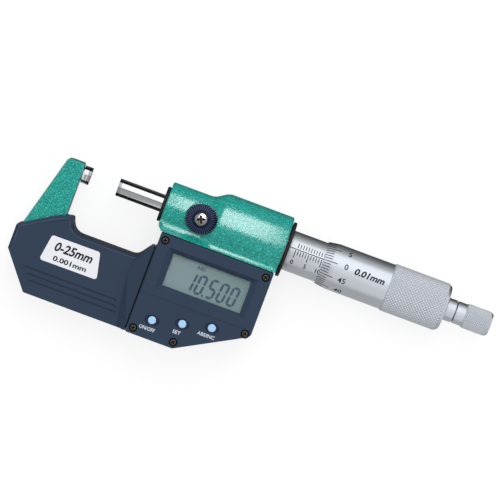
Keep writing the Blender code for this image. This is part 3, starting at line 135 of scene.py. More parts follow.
def combine(tree, operation, first, second):
    """Join two values, where the second may be a constant."""
    made = node(tree, "ShaderNodeMath", operation=operation)
    tree.links.new(first, made.inputs[0])
    if isinstance(second, float):
        made.inputs[1].default_value = second
    else:
        tree.links.new(second, made.inputs[1])
    return made.outputs[0]


def within(tree, value, low, high, kind="LINEAR"):
    """Where a value lies between two others, from 0 to 1."""
    made = node(tree, "ShaderNodeMapRange", interpolation_type=kind)
    tree.links.new(value, made.inputs["Value"])
    tree.links.new(low, made.inputs["From Min"])
    tree.links.new(high, made.inputs["From Max"])
    return made.outputs["Result"]


def spread(tree, value, low, high):
    """Map a mask of 0 to 1 onto low to high."""
    made = node(tree, "ShaderNodeMapRange")
    put(made, To_Min=low, To_Max=high)
    tree.links.new(value, made.inputs["Value"])
    return made.outputs["Result"]


def new_group(name, inputs, outputs):
    tree = bpy.data.node_groups.new(name, "ShaderNodeTree")
    for way, labels in (("INPUT", inputs), ("OUTPUT", outputs)):
        for label in labels:
            tree.interface.new_socket(name=label, in_out=way, socket_type="NodeSocketFloat")
    entry = tree.nodes.new("NodeGroupInput").outputs
    leave = tree.nodes.new("NodeGroupOutput").inputs
    place = node(tree, "ShaderNodeTexCoord").outputs["Object"]
    return tree, entry, leave, place


def noise(tree, place, scale, detail, rough=0.5):
    made = node(tree, "ShaderNodeTexNoise")
    put(made, Detail=detail, Roughness=rough)
    tree.links.new(place, made.inputs["Vector"])
    tree.links.new(scale, made.inputs["Scale"])
    return made.outputs["Fac"]


def make_fleck_group():
    """Hammered enamel: round dimples with paler rims, a few tenths of a millimetre wide."""
    tree, entry, leave, place = new_group("Hammered flecks", ["Scale", "Low", "High"],
                                          ["Mask", "Height"])
    flecks = noise(tree, place, entry["Scale"], 3.0, 0.62)
    cells = put(node(tree, "ShaderNodeTexVoronoi", feature="SMOOTH_F1"), Smoothness=0.6)
    tree.links.new(place, cells.inputs["Vector"])
    tree.links.new(entry["Scale"], cells.inputs["Scale"])
    mask = within(tree, flecks, entry["Low"], entry["High"], "SMOOTHSTEP")
    tree.links.new(mask, leave["Mask"])
    height = node(tree, "ShaderNodeMath", operation="MULTIPLY_ADD")
    height.inputs[1].default_value = 0.7
    tree.links.new(cells.outputs["Distance"], height.inputs[0])
    tree.links.new(flecks, height.inputs[2])
    tree.links.new(height.outputs[0], leave["Height"])
    return tree


def make_grain_group():
    """Spark-eroded mould texture, with a slow drift of tone over the piece."""
    tree, entry, leave, place = new_group("Mould grain", ["Grain", "Drift"], ["Grain", "Drift"])
    tree.links.new(noise(tree, place, entry["Grain"], 2.0), leave["Grain"])
    tree.links.new(noise(tree, place, entry["Drift"], 4.0), leave["Drift"])
    return tree


def make_ring_group():
    """Fine rings that a lathe or grinding wheel leaves round the spindle's axis."""
    tree, entry, leave, place = new_group("Turning rings", ["Rings", "Smudge"],
                                          ["Rings", "Smudge"])
    parts = node(tree, "ShaderNodeSeparateXYZ")
    tree.links.new(place, parts.inputs[0])
    along = node(tree, "ShaderNodeCombineXYZ")
    tree.links.new(parts.outputs["X"], along.inputs["X"])
    tree.links.new(noise(tree, along.outputs[0], entry["Rings"], 3.0), leave["Rings"])
    tree.links.new(noise(tree, place, entry["Smudge"], 3.0), leave["Smudge"])
    return tree


def make_groove_group():
    """How far out from the spindle's axis a place lies, from 0 at Bottom to 1 at Top."""
    tree, entry, leave, place = new_group("Depth round the spindle", ["Bottom", "Top"], ["Mask"])
    across = node(tree, "ShaderNodeVectorMath", operation="MULTIPLY")
    across.inputs[1].default_value = (0, 1, 1)
    tree.links.new(place, across.inputs[0])
    reach = node(tree, "ShaderNodeVectorMath", operation="LENGTH")
    tree.links.new(across.outputs["Vector"], reach.inputs[0])
    mask = within(tree, reach.outputs["Value"], entry["Bottom"], entry["Top"])
    tree.links.new(mask, leave["Mask"])
    return tree


FLECKS = make_fleck_group()
GRAIN = make_grain_group()
RINGS = make_ring_group()
GROOVES = make_groove_group()


def effect(tree, group, **values):
    made = node(tree, "ShaderNodeGroup", node_tree=group)
    return put(made, **values)


def bump(tree, shader, height, strength, distance):
    made = node(tree, "ShaderNodeBump")
    put(made, Strength=strength, Distance=distance)
    tree.links.new(height, made.inputs["Height"])
    tree.links.new(made.outputs["Normal"], shader.inputs["Normal"])
    return made


def new_finish(name, **sockets):
    material = bpy.data.materials.new(name)
    material.use_nodes = True
    tree = material.node_tree
    shader = tree.nodes["Principled BSDF"]
    put(shader, **sockets)
    return material, tree, shader


def hammertone():
    material, tree, shader = new_finish("hammertone_enamel", Coat_Weight=0.8,
                                        Coat_Roughness=0.13, Specular_IOR_Level=0.02)
    flecks = effect(tree, FLECKS, Scale=2500.0, Low=0.46, High=0.66)
    grain = effect(tree, GRAIN, Grain=4200.0, Drift=120.0)
    pale = mix_colours(tree, flecks.outputs["Mask"], rgb(0, 132, 120), rgb(66, 200, 190))
    shade = mix_colours(tree, grain.outputs["Drift"], (0.72, 0.78, 0.78, 1), WHITE)
    tree.links.new(multiply(tree, 0.35, pale, shade), shader.inputs["Base Color"])
    tree.links.new(spread(tree, flecks.outputs["Mask"], 0.36, 0.26), shader.inputs["Roughness"])
    relief = bump(tree, shader, flecks.outputs["Height"], 0.6, 0.00007)
    tree.links.new(relief.outputs["Normal"], shader.inputs["Coat Normal"])
    return material


def moulded(name, first, second, roughness, grain_size=8500.0, relief=0.00001, gloss=0.3):
    """Moulded plastic or rubber with a grained skin."""
    material, tree, shader = new_finish(name, Specular_IOR_Level=gloss)
    grain = effect(tree, GRAIN, Grain=grain_size, Drift=70.0)
    colour = mix_colours(tree, grain.outputs["Drift"], first, second)
    tree.links.new(colour, shader.inputs["Base Color"])
    tree.links.new(spread(tree, grain.outputs["Grain"], roughness - 0.06, roughness + 0.06),
                   shader.inputs["Roughness"])
    bump(tree, shader, grain.outputs["Grain"], 0.5, relief)
    return material


def metal(name, first, second, roughness, rings=9000.0, relief=0.000003):
    """Turned or ground metal, with faint rings and smudges in its gloss."""
    material, tree, shader = new_finish(name, Metallic=1.0)
    turned = effect(tree, RINGS, Rings=rings, Smudge=220.0)
    colour = mix_colours(tree, turned.outputs["Smudge"], first, second)
    tree.links.new(colour, shader.inputs["Base Color"])
    tree.links.new(spread(tree, turned.outputs["Rings"], roughness * 0.8, roughness * 1.25),
                   shader.inputs["Roughness"])
    bump(tree, shader, turned.outputs["Rings"], 0.4, relief)
    return material


def knurled(name, bottom, top):
    """Satin chrome whose knurl is dull in its grooves, with painted shade that is darkest in the
    grooves and lightest on the points.
    """
    material, tree, shader = new_finish(name, Metallic=0.62)
    turned = effect(tree, RINGS, Rings=9000.0, Smudge=220.0)
    depth = effect(tree, GROOVES, Bottom=bottom, Top=top)
    # Painted shade: the base colour darkens from the knurl's points into its grooves.
    shade = mix_colours(tree, depth.outputs["Mask"], (0.54, 0.57, 0.62, 1), (0.92, 0.95, 1.0, 1))
    tint = mix_colours(tree, turned.outputs["Smudge"], (0.9, 0.91, 0.92, 1), WHITE)
    tree.links.new(multiply(tree, 1.0, shade, tint), shader.inputs["Base Color"])
    tree.links.new(spread(tree, depth.outputs["Mask"], 0.5, 0.3), shader.inputs["Roughness"])
    bump(tree, shader, turned.outputs["Rings"], 0.3, 0.000003)
    return material


def ink(name, colour, roughness=0.5):
    """Paint in letters and lines, a little thin in places."""
    lighter = tuple(c * 1.25 + 0.01 for c in colour[:3]) + (1.0,)
    return moulded(name, colour, lighter, roughness, 6000.0, 0.000004, 0.08)


def liquid_crystal():
    """Display film: grey at the left, greener at the right, with a fine weave of cells."""
    material, tree, shader = new_finish("liquid_crystal", Roughness=0.32, Specular_IOR_Level=0.3)
    place = node(tree, "ShaderNodeTexCoord").outputs["Object"]
    parts = node(tree, "ShaderNodeSeparateXYZ")
    tree.links.new(place, parts.inputs[0])
    across = node(tree, "ShaderNodeMapRange")
    put(across, From_Min=0.038, From_Max=0.067)
    tree.links.new(parts.outputs["X"], across.inputs["Value"])
    colour = mix_colours(tree, across.outputs["Result"], rgb(116, 139, 144), rgb(102, 131, 131))
    grain = effect(tree, GRAIN, Grain=14000.0, Drift=60.0)
    woven = multiply(tree, 0.12, colour, grain.outputs["Grain"])
    tree.links.new(woven, shader.inputs["Base Color"])
    bump(tree, shader, grain.outputs["Grain"], 0.2, 0.000002)
    return material


def window_glass():
    """Clear window that lets light through to the display."""
    material, tree, shader = new_finish("clear_window", Base_Color=WHITE,
                                        Transmission_Weight=1.0, IOR=1.3)
    grain = effect(tree, GRAIN, Grain=3000.0, Drift=80.0)
    tree.links.new(spread(tree, grain.outputs["Drift"], 0.02, 0.06), shader.inputs["Roughness"])
    clear = node(tree, "ShaderNodeBsdfTransparent")
    path = node(tree, "ShaderNodeLightPath")
    either = node(tree, "ShaderNodeMixShader")
    tree.links.new(path.outputs["Is Shadow Ray"], either.inputs["Fac"])
    tree.links.new(shader.outputs["BSDF"], either.inputs[1])
    tree.links.new(clear.outputs["BSDF"], either.inputs[2])
    tree.links.new(either.outputs["Shader"], tree.nodes["Material Output"].inputs["Surface"])
    return material


FINISHES = {
    "green_paint": hammertone(),
    "navy_plastic": moulded("navy_moulding", rgb(43, 57, 76), rgb(49, 64, 84), 0.48, gloss=0.15),
    "dark_plastic": moulded("dark_moulding", rgb(18, 26, 58), rgb(26, 35, 70), 0.4),
    "button_plastic": moulded("button_moulding", rgb(158, 200, 238), rgb(172, 211, 245), 0.36),
    "polished_steel": metal("lapped_steel", (0.80, 0.81, 0.83, 1), (0.86, 0.87, 0.89, 1), 0.1,
                            14000.0, 0.000001),
    "satin_steel": metal("satin_chrome", (0.70, 0.74, 0.80, 1), (0.76, 0.80, 0.86, 1), 0.3),
    "carbide": metal("lapped_carbide", (0.40, 0.41, 0.44, 1), (0.46, 0.47, 0.50, 1), 0.14, 14000.0,
                     0.000001),
    "brass": metal("turned_brass", rgb(196, 160, 88), rgb(208, 174, 104), 0.28),
    "black_rubber": moulded("seal_rubber", rgb(22, 23, 25), rgb(32, 33, 36), 0.5, 6000.0, 0.000015),
    "dark_screw": metal("burnished_screw", rgb(82, 77, 72), rgb(110, 103, 96), 0.32, 5000.0),
    "label_white": moulded("label_plate_face", rgb(226, 227, 234), rgb(233, 234, 240), 0.4, 9000.0,
                           0.000003),
    "window": window_glass(),
    "display": liquid_crystal(),
    "board": moulded("board_laminate", rgb(26, 84, 52), rgb(36, 102, 64), 0.5),
    "spring_steel": metal("spring_wire", (0.42, 0.43, 0.45, 1), (0.50, 0.51, 0.53, 1), 0.28),
}
ENGRAVING = ink("engraving_paint", rgb(26, 29, 36))
LEGEND = ink("legend_paint", rgb(196, 202, 214))
LABEL_INK = ink("label_paint", rgb(34, 34, 38))
SEGMENT = ink("display_segments", rgb(46, 62, 86), 0.4)
KNURL_DEPTH = 0.32 * MM
KNOB_GRIP_R = 4.65 * MM
KNOB_KNURL_DEPTH = 0.3 * MM
KNURL = knurled("knurled_chrome", GRIP_R - KNURL_DEPTH, GRIP_R)
KNOB_KNURL = knurled("knurled_chrome_small", KNOB_GRIP_R - KNOB_KNURL_DEPTH, KNOB_GRIP_R)
# Painted shade: a darker navy for parts of the covers' rim, standing in for the shade that falls
# there.
RIM_PAINTED_SHADE = moulded("rim_painted_shade", rgb(34, 45, 61), rgb(40, 52, 69), 0.5, gloss=0.15)
# Painted shade: near-black navy for the covers' throat wall, which faces the spindle.
THROAT_PAINTED_SHADE = moulded("throat_wall_painted_shade", rgb(10, 13, 20), rgb(16, 20, 28), 0.5, gloss=0.1)
# Painted highlight: a paler navy for the line along the covers' rim and for the lock wheel's ribs.
RIB_PAINTED_HIGHLIGHT = moulded("painted_highlight_ribs", rgb(62, 74, 100), rgb(78, 90, 116), 0.38)
# Painted shade: near-black for the screws' cross recesses.
RECESS_PAINTED_SHADE = metal("recess_painted_shade", rgb(30, 27, 25), rgb(44, 40, 36), 0.5, 5000.0)
SCREW_SILVER = metal("pan_screw_nickel", (0.23, 0.22, 0.21, 1), (0.32, 0.31, 0.30, 1), 0.2, 5000.0)


for row in frame["record"]["subparts"]:
    carried = nodes[row["node"]]
    carried.data.materials.clear()
    carried.data.materials.append(FINISHES[row["material_slot"]])


# Meshes

def mesh_of(name, bm):
    mesh = bpy.data.meshes.new(name)
    bm.to_mesh(mesh)
    bm.free()
    return mesh


def added(name, data):
    """An object of this data, put into the scene."""
    obj = bpy.data.objects.new(name, data)
    bpy.context.scene.collection.objects.link(obj)
    return obj


def smooth(mesh, angle):
    mesh.shade_smooth()
    mesh.set_sharp_from_angle(angle=math.radians(angle))


def piece(name, bm, material, body, slot, stands_for=(), angle=32.0, flat=False):
    """Make an object of a mesh that is in place already, and let it ride."""
    bmesh.ops.recalc_face_normals(bm, faces=bm.faces)
    mesh = mesh_of(name, bm)
    if mesh.has_custom_normals:
        mesh.attributes.remove(mesh.attributes["custom_normal"])
    if not flat:
        smooth(mesh, angle)
    mesh.materials.append(material)
    obj = added(name, mesh)
    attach(obj, body)
    if stands_for:
        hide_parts(*stands_for)
    return obj


def refinish(obj, material, chosen):
    """Give another finish to the faces whose centre is chosen."""
    obj.data.materials.append(material)
    for face in obj.data.polygons:
        if chosen(face.center):
            face.material_index = len(obj.data.materials) - 1


def settled(obj):
    """Replace an object's mesh by what its modifiers make of it."""
    graph = bpy.context.evaluated_depsgraph_get()
    mesh = bpy.data.meshes.new_from_object(obj.evaluated_get(graph))
    obj.modifiers.clear()
    obj.data = mesh
    return obj


def body_of(name):
    return next(b for b, members in frame["record"]["behaviour"]["bodies"].items()
                if name in members)


def slot_of(name):
    return next(r["material_slot"] for r in frame["record"]["subparts"] if r["node"] == name)


def stand_in(name, bm, source, angle=32.0, material=None):
    """A piece in the place of a CAD node, on the node's body and with the node's finish unless
    another is given.
    """
    return piece(name, bm, material or nodes[source].data.materials[0], body_of(source),
                 slot_of(source), [source], angle)


def dressed(name, source, edge=0.12 * MM, steps=2, angle=28.0, rework=None):
    """A CAD node's own form with its edges eased and its curves smooth, in the node's place."""
    bm = bmesh.new()
    bm.from_mesh(nodes[source].data)
    bmesh.ops.remove_doubles(bm, verts=bm.verts, dist=1e-6)
    bmesh.ops.dissolve_limit(bm, angle_limit=math.radians(0.3), verts=bm.verts, edges=bm.edges)
    if rework:
        rework(bm)
    obj = stand_in(name, bm, source, angle)
    if edge:
        ease = obj.modifiers.new("eased_edges", "BEVEL")
        ease.width = edge
        ease.segments = steps
        ease.limit_method = "ANGLE"
        ease.angle_limit = math.radians(angle)
        weight = obj.modifiers.new("flat_faces", "WEIGHTED_NORMAL")
        weight.keep_sharp = True
    return obj


def lathe(rows, columns, about="X", at=(0, 0, 0), closed=True):
    """Turn rows of (height, radius), where a radius can also be a function of the column."""
    bm = bmesh.new()
    rings = []
    for height, radius in rows:
        if not callable(radius) and radius <= 0:
            rings.append([(bm.verts.new(turned_point(height, 0, 0, about, at)), 0.0)])
            continue
        ring = []
        for k in range(columns):
            r = radius(k) if callable(radius) else radius
            point = turned_point(height, r, 2 * math.pi * k / columns, about, at)
            ring.append((bm.verts.new(point), r))
        rings.append(ring)
    pairs = list(zip(rings, rings[1:]))
    if closed:
        pairs.append((rings[-1], rings[0]))
    for low, high in pairs:
        for k in range(columns):
            after = (k + 1) % columns
            if len(low) == len(high) == 1:
                break
            if len(low) == 1:
                bm.faces.new((low[0][0], high[after][0], high[k][0]))
            elif len(high) == 1:
                bm.faces.new((low[k][0], low[after][0], high[0][0]))
            else:
                join(bm, low[k], low[after], high[after], high[k])
    return bm


NEARLY_FLAT = 0.02 * MM


def join(bm, a, b, c, d):
    """A quad of (vertex, radius); one that isn't flat folds along its deeper diagonal."""
    first = a[1] + c[1]
    second = b[1] + d[1]
    if abs(first - second) < NEARLY_FLAT:
        bm.faces.new((a[0], b[0], c[0], d[0]))
    elif first < second:
        bm.faces.new((a[0], b[0], c[0]))
        bm.faces.new((a[0], c[0], d[0]))
    else:
        bm.faces.new((a[0], b[0], d[0]))
        bm.faces.new((b[0], c[0], d[0]))


def turned_point(height, radius, turn, about, at):
    if about == "X":
        return (at[0] + height, at[1] + radius * math.sin(turn), at[2] + radius * math.cos(turn))
    return (at[0] + radius * math.cos(turn), at[1] + radius * math.sin(turn), at[2] + height)


ARC_STEPS = 3


def eased(points, edge):
    """Round the corners of a profile of (height, radius) points by a small arc."""
    result = []
    for i, (x, r) in enumerate(points):
        here = Vector((x, r))
        if r <= 0:
            result.append((x, r))
            continue
        before = Vector(points[i - 1]) - here
        after = Vector(points[(i + 1) % len(points)]) - here
        cut = min(edge, before.length * 0.45, after.length * 0.45)
        a = here + before.normalized() * cut
        b = here + after.normalized() * cut
        for k in range(ARC_STEPS + 1):
            t = k / ARC_STEPS
            p = a * (1 - t) ** 2 + here * 2 * t * (1 - t) + b * t * t
            result.append((p.x, p.y))
    return result


def prism(bm, rings):
    """Close two like outlines of vertices into a solid."""
    bm.faces.new(rings[0][::-1])
    bm.faces.new(rings[1])
    for k in range(len(rings[0])):
        j = (k + 1) % len(rings[0])
        bm.faces.new((rings[0][k], rings[0][j], rings[1][j], rings[1][k]))


# Flat patterns that are laid on surfaces: u runs along, v across, h is height above the surface

UNDER = -0.04 * MM
LINE_LIFT = 0.006 * MM
PANEL_LIFT = 0.02 * MM
DISPLAY_LIFT = 0.03 * MM


def solid(bm, outline, low, high):
    """An outline of (u, v) points, drawn out from one height to another."""
    prism(bm, [[bm.verts.new((p[0], p[1], h)) for p in outline] for h in (low, high)])


def bar(bm, u0, u1, v0, v1, low, high):
    solid(bm, ((u0, v0), (u1, v0), (u1, v1), (u0, v1)), low, high)


def words(bm, text, height, centre, low, high, bold, slant=0.0, width=None):
    """Letters of this height, centred on a point; a width stretches them."""
    curve = bpy.data.curves.new("letters", "FONT")
    curve.font = FONT or curve.font
    curve.body = text
    curve.align_x = "CENTER"
    curve.resolution_u = 3
    curve.shear = slant
    curve.offset = bold
    curve.extrude = 0.5
    holder = added("letters", curve)
    graph = bpy.context.evaluated_depsgraph_get()
    mesh = bpy.data.meshes.new_from_object(holder.evaluated_get(graph))
    bpy.data.objects.remove(holder)
    xs = [v.co.x for v in mesh.vertices]
    ys = [v.co.y for v in mesh.vertices]
    tall = height / (max(ys) - min(ys))
    wide = tall if width is None else width / (max(xs) - min(xs))
    middle = ((max(xs) + min(xs)) / 2, (max(ys) + min(ys)) / 2)
    for v in mesh.vertices:
        v.co = ((v.co.x - middle[0]) * wide + centre[0], (v.co.y - middle[1]) * tall + centre[1],
                low if v.co.z < 0 else high)
    bm.from_mesh(mesh)
    bpy.data.meshes.remove(mesh)


def cut_across(bm, positions, direction):
    for place in positions:
        point = [c * place for c in direction]
        bmesh.ops.bisect_plane(bm, geom=bm.verts[:] + bm.edges[:] + bm.faces[:], plane_co=point,
                               plane_no=direction, dist=1e-7)


def laid(name, bm, surface, material, body, slot):
    for v in bm.verts:
        v.co = surface(*v.co)
    bmesh.ops.triangulate(bm, faces=[f for f in bm.faces if len(f.verts) > 4])
    return piece(name, bm, material, body, slot, flat=True)


def steps_between(low, high, step):
    return [low + step * (k + 1) for k in range(int((high - low) / step))]


# Castings, mouldings and seals

COVER_HALF = 6.5 * MM      # from the covers' middle plane to each face
RIM_CUT = 0.03 * MM        # the chamfer that the solids have
RIM_W = 1.2 * MM           # the slope that the photograph shows
RIM_DROP = 0.9 * MM
RIM_LINE = 0.16 * MM
SHADED_Y = -26.0 * MM      # below this, the rim that faces -X gets painted shade
RAISED_X = 20.0 * MM       # where the covers' raised end starts
SHADED, THROAT = 1, 2      # material slots of the painted shade on the covers' rim and on their throat wall
rim_borders = []


def flat_part(v):
    return Vector((v.x, v.y))


def widen_rim(bm):
    """Turn the narrow chamfer round a cover into the sloping rim that the photograph shows."""
    upper = {}
    for edge in bm.edges:
        low, high = sorted(edge.verts, key=lambda v: abs(v.co.z))
        step = flat_part(high.co - low.co).length / RIM_CUT
        rise = (abs(high.co.z) - abs(low.co.z)) / RIM_CUT
        at_face = abs(abs(high.co.z) - COVER_HALF) < 2e-6
        if at_face and 0.5 < rise < 1.5 and 0.5 < step < 3:
            upper[low] = high
    inward = {low: flat_part(high.co - low.co) / RIM_CUT for low, high in upper.items()}
    places = {low: flat_part(low.co) + inward[low] * RIM_W for low in upper}
    for run, radius in tight_corners(upper, inward):
        middle = sum((flat_part(v.co) + inward[v] * radius for v in run), Vector((0, 0))) / len(run)
        ends = [v for v in run if sum(e.other_vert(v) in run for e in v.link_edges) == 1]
        if len(ends) != 2:
            continue
        bisector = (inward[ends[0]].normalized() + inward[ends[1]].normalized()) / 2
        at = middle + bisector * (RIM_W - radius) / bisector.length_squared
        for v in run:
            places[v] = at
    rim_borders.clear()
    for edge in bm.edges:
        a, b = edge.verts
        if a in upper and b in upper and (places[a] - places[b]).length > 0.05 * MM:
            rim_borders.append((places[a], places[b]))
    inner = set(upper.values())
    for face in bm.faces:
        lows = sum(v in upper for v in face.verts)
        middle = face.calc_center_median()
        # Painted shade: rim faces on the right, and those facing -X low down, take the darker rim
        # finish.
        if lows and all(v in upper or v in inner for v in face.verts):
            in_shade = face.normal.x < -1e-3 and middle.y < SHADED_Y
            face.material_index = SHADED if in_shade or middle.x > 0 else 0
        # Painted shade: the throat wall takes the near-black finish.
        elif lows > 1 and abs(face.normal.z) < 0.1 and face.normal.y > 0.1 and middle.x > 0:
            face.material_index = THROAT
    for low, high in upper.items():
        side = 1 if low.co.z > 0 else -1
        high.co = (places[low].x, places[low].y, high.co.z)
        low.co.z = side * (COVER_HALF - RIM_DROP)
    bmesh.ops.remove_doubles(bm, verts=list(upper.values()), dist=2e-6)


def crease_raised_end(obj):
    """Keep the creases between the gently sloping faces of a cover's raised end crisp."""
    bm = bmesh.new()
    bm.from_mesh(obj.data)
    for edge in bm.edges:
        if len(edge.link_faces) == 2 and min(v.co.x for v in edge.verts) > RAISED_X:
            gentle = all(abs(face.normal.z) > 0.6 for face in edge.link_faces)
            if gentle and edge.calc_face_angle() > math.radians(2.0):
                edge.smooth = False
    bm.to_mesh(obj.data)
    bm.free()


def rim_line(name, side):
    """A paler line along the inner border of a cover's rim, as a painted highlight."""
    bm = bmesh.new()
    for a, b in rim_borders:
        across = (b - a).orthogonal().normalized() * (RIM_LINE / 2)
        solid(bm, (a - across, b - across, b + across, a + across),
              side * (COVER_HALF + UNDER), side * (COVER_HALF + LINE_LIFT))
    piece(name, bm, RIB_PAINTED_HIGHLIGHT, "frame", "navy_plastic", flat=True)


def tight_corners(upper, inward):
    """Runs of rim vertices on outer corners whose arcs are smaller than the rim is wide."""
    joined = {}
    for low in upper:
        for edge in low.link_edges:
            other = edge.other_vert(low)
            if other not in upper:
                continue
            along = flat_part(other.co - low.co)
            turn = inward[other] - inward[low]
            if turn.length > 0.02 and along.dot(turn) < 0 and along.length / turn.length < RIM_W:
                joined.setdefault(low, {})[other] = along.length / turn.length
    left = set(joined)
    while left:
        run, queue, radii = set(), [left.pop()], []
        while queue:
            v = queue.pop()
            run.add(v)
            for other, radius in joined[v].items():
                radii.append(radius)
                if other in left:
                    left.discard(other)
                    queue.append(other)
        yield run, sum(radii) / len(radii)


casting = dressed("casting", "frame", 0.25 * MM, 3, 32.0)
for name, source, side in (("cover_front", "insulator_front", 1),
                           ("cover_back", "insulator_rear", -1)):
    cover = dressed(name, source, 0.0, 1, 17.0, widen_rim)
    # Painted shade for parts of the rim.
    cover.data.materials.append(RIM_PAINTED_SHADE)
    # Painted shade for the throat wall.
    cover.data.materials.append(THROAT_PAINTED_SHADE)
    crease_raised_end(cover)
    rim_line(name + "_edge_line", side)
dressed("case_front", "housing_front")
dressed("case_back", "housing_rear")
dressed("case_seal", "housing_gasket", 0.0)
dressed("label", "label_plate", 0.08 * MM, angle=40.0)
dressed("display_panel", "display_glass", 0.05 * MM, 1)
dressed("window_pane", "window_lens", 0.1 * MM)
dressed("battery_cover", "battery_cap", 0.1 * MM)
for label in BUTTONS:
    dressed("surround_" + label, "bezel_" + label, angle=40.0)
dressed("ratchet_collar", "ratchet_base", 0.06 * MM, angle=40.0)
dressed("ratchet_bolt", "ratchet_screw", 0.15 * MM, angle=40.0)


# In millimetres: where the strip starts and ends in X, and its corners in Y and Z
SEAL_ENDS = (30.38, 30.82)
SEAL_PROFILE = ((-46.9, 4.65), (-15.1, 4.65), (-15.1, 7.2), (-17.2, 9.3), (-44.5, 9.3),
                (-46.9, 8.5))


def joint_seal(name, side):
    """Black strip that closes the gap between the covers and the housing."""
    bm = bmesh.new()
    prism(bm, [[bm.verts.new((x * MM, y * MM, side * z * MM)) for y, z in SEAL_PROFILE]
               for x in SEAL_ENDS])
    piece(name, bm, FINISHES["black_rubber"], "frame", "black_rubber")


joint_seal("joint_seal_front", 1)
joint_seal("joint_seal_back", -1)


def ring(name, source, x0, x1, inner, outer):
    rows = eased([(x0, inner), (x0, outer), (x1, outer), (x1, inner)], 0.3 * MM)
    stand_in(name, lathe(rows, ROUND), source)


ring("front_seal", "front_seal_ring", 27.5 * MM, 28.75 * MM, SPINDLE_R + 0.08 * MM, 6.5 * MM)
ring("rear_seal", "rear_ring", 74.3745 * MM, 75.6 * MM, SLEEVE_R + 0.3 * MM, 10.25 * MM)


# Anvil and spindle

def rod(name, source, points, edge, finish, body):
    piece(name, lathe(eased(points, edge), ROUND, closed=False), FINISHES[finish], body, finish,
          [source])


rod("anvil_pin", "anvil", [(-9.2 * MM, 0), (-9.2 * MM, 2.5 * MM), (-2.9 * MM, 2.5 * MM),
                           (-2.9 * MM, SPINDLE_R), (-1.03 * MM, SPINDLE_R), (-1.03 * MM, 0)],
    0.08 * MM, "polished_steel", "frame")
rod("anvil_face", "anvil_tip", [(-1.0 * MM, 0), (-1.0 * MM, SPINDLE_R), (0, SPINDLE_R), (0, 0)],
    0.06 * MM, "carbide", "frame")
rod("spindle_face", "spindle_tip", [(REST_GAP, 0), (REST_GAP, SPINDLE_R),
                                    (REST_GAP + MM, SPINDLE_R), (REST_GAP + MM, 0)],
    0.06 * MM, "carbide", "spindle")


THREAD_COLUMNS = 36
THREAD_ROWS = 4            # rows of the mesh in one turn of the thread
THREAD_X = 82.2 * MM
THREAD_END_X = 125.6 * MM


def thread_radius(x):
    def at_column(k):
        phase = (x / THREAD_PITCH - k / THREAD_COLUMNS) % 1.0
        return THREAD_R - THREAD_DEPTH * (1 - abs(2 * phase - 1))
    return at_column


def build_spindle_rod():
    start = REST_GAP + 1.03 * MM
    edge = 0.05 * MM
    rows = [(start, 0), (start, SPINDLE_R - edge), (start + edge, SPINDLE_R),
            (THREAD_X - 0.7 * MM, SPINDLE_R)]
    step = THREAD_PITCH / THREAD_ROWS
    for k in range(int((THREAD_END_X - THREAD_X) / step) + 1):
        x = THREAD_X + k * step
        rows.append((x, thread_radius(x)))
    tail_r = 3.3 * MM
    hole_r = 1.6 * MM
    hole_x = THIMBLE_END_X - 8.3 * MM
    rows += [(THREAD_END_X + 0.3 * MM, THREAD_R - 0.1 * MM), (THIMBLE_END_X - 0.1 * MM, tail_r),
             (THIMBLE_END_X, tail_r - 0.1 * MM), (THIMBLE_END_X, hole_r), (hole_x, hole_r),
             (hole_x, 0)]
    stand_in("spindle_rod", lathe(rows, THREAD_COLUMNS, closed=False), "spindle", 40.0)


build_spindle_rod()


# Sleeve and its scale

sleeve_low, sleeve_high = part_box("sleeve")
rows = eased([(sleeve_low.x, SLEEVE_R - 0.8 * MM), (sleeve_low.x, SLEEVE_R),
              (sleeve_high.x, SLEEVE_R), (sleeve_high.x, SLEEVE_R - 0.8 * MM)], 0.12 * MM)
stand_in("sleeve_tube", lathe(rows, ROUND_LARGE), "sleeve")


def round_spindle(x, v, base_r, r):
    """A place on a turned surface, v along the turn from the index line."""
    turn = INDEX_ANGLE + v / base_r
    return (x, r * math.sin(turn), r * math.cos(turn))


def on_sleeve(u, v, h):
    return round_spindle(u, v, SLEEVE_R, SLEEVE_R + h)


LINE = 0.3 * MM            # width of a graduation
OVER = 0.012 * MM          # how far the engraving's paint stands out
SCALE_MM = 25
scale_end = sleeve_high.x - 0.3 * MM
bm = bmesh.new()
bar(bm, sleeve_low.x + 0.2 * MM, scale_end, -LINE / 2, LINE / 2, UNDER, OVER)
for k in range(SCALE_MM + 1):
    x = ZERO_X + k * MM
    reach = 3.3 * MM if k % 5 == 0 else 2.1 * MM
    if x < scale_end:
        bar(bm, x - LINE / 2, x + LINE / 2, -reach, -0.35 * MM, UNDER, OVER)
    half = x + 0.5 * MM
    if half < scale_end and k < SCALE_MM:
        bar(bm, half - LINE / 2, half + LINE / 2, 0.6 * MM, 2.3 * MM, UNDER, OVER)
    if k % 5 == 0:
        words(bm, str(k), 1.8 * MM, (x, -5.0 * MM), UNDER, OVER, bold=0.02)
cut_across(bm, steps_between(-6.3 * MM, 2.4 * MM, 0.35 * MM), (0, 1, 0))
laid("sleeve_scale", bm, on_sleeve, ENGRAVING, "frame", "satin_steel")


# Thimble

GRIP_DIAMONDS = 42
GRIP_ROWS = 17
KNURL_SHARP = 8.0          # degrees between faces from which a knurled piece's edges are sharp
DIVISIONS = 50


def bevel_radius(x):
    t = min(max((x - THIMBLE_X) / (BEVEL_END_X - THIMBLE_X), 0.0), 1.0)
    return THIMBLE_LIP_R + (THIMBLE_R - THIMBLE_LIP_R) * t


def knurl_rows(x0, x1, count, top, depth, drop):
    """Rows of a diamond knurl, whose first and last lie lower by the drop.

    Peaks and hollows alternate like a chessboard, which leaves square pyramids.
    """
    made = []
    for i in range(count + 1):
        if i in (0, count):
            radius = top - depth - drop * 0.2
        else:
            def radius(k, row=i):
                return top if (k + row) % 2 == 0 else top - depth
        made.append((x0 + (x1 - x0) * i / count, radius))
    return made


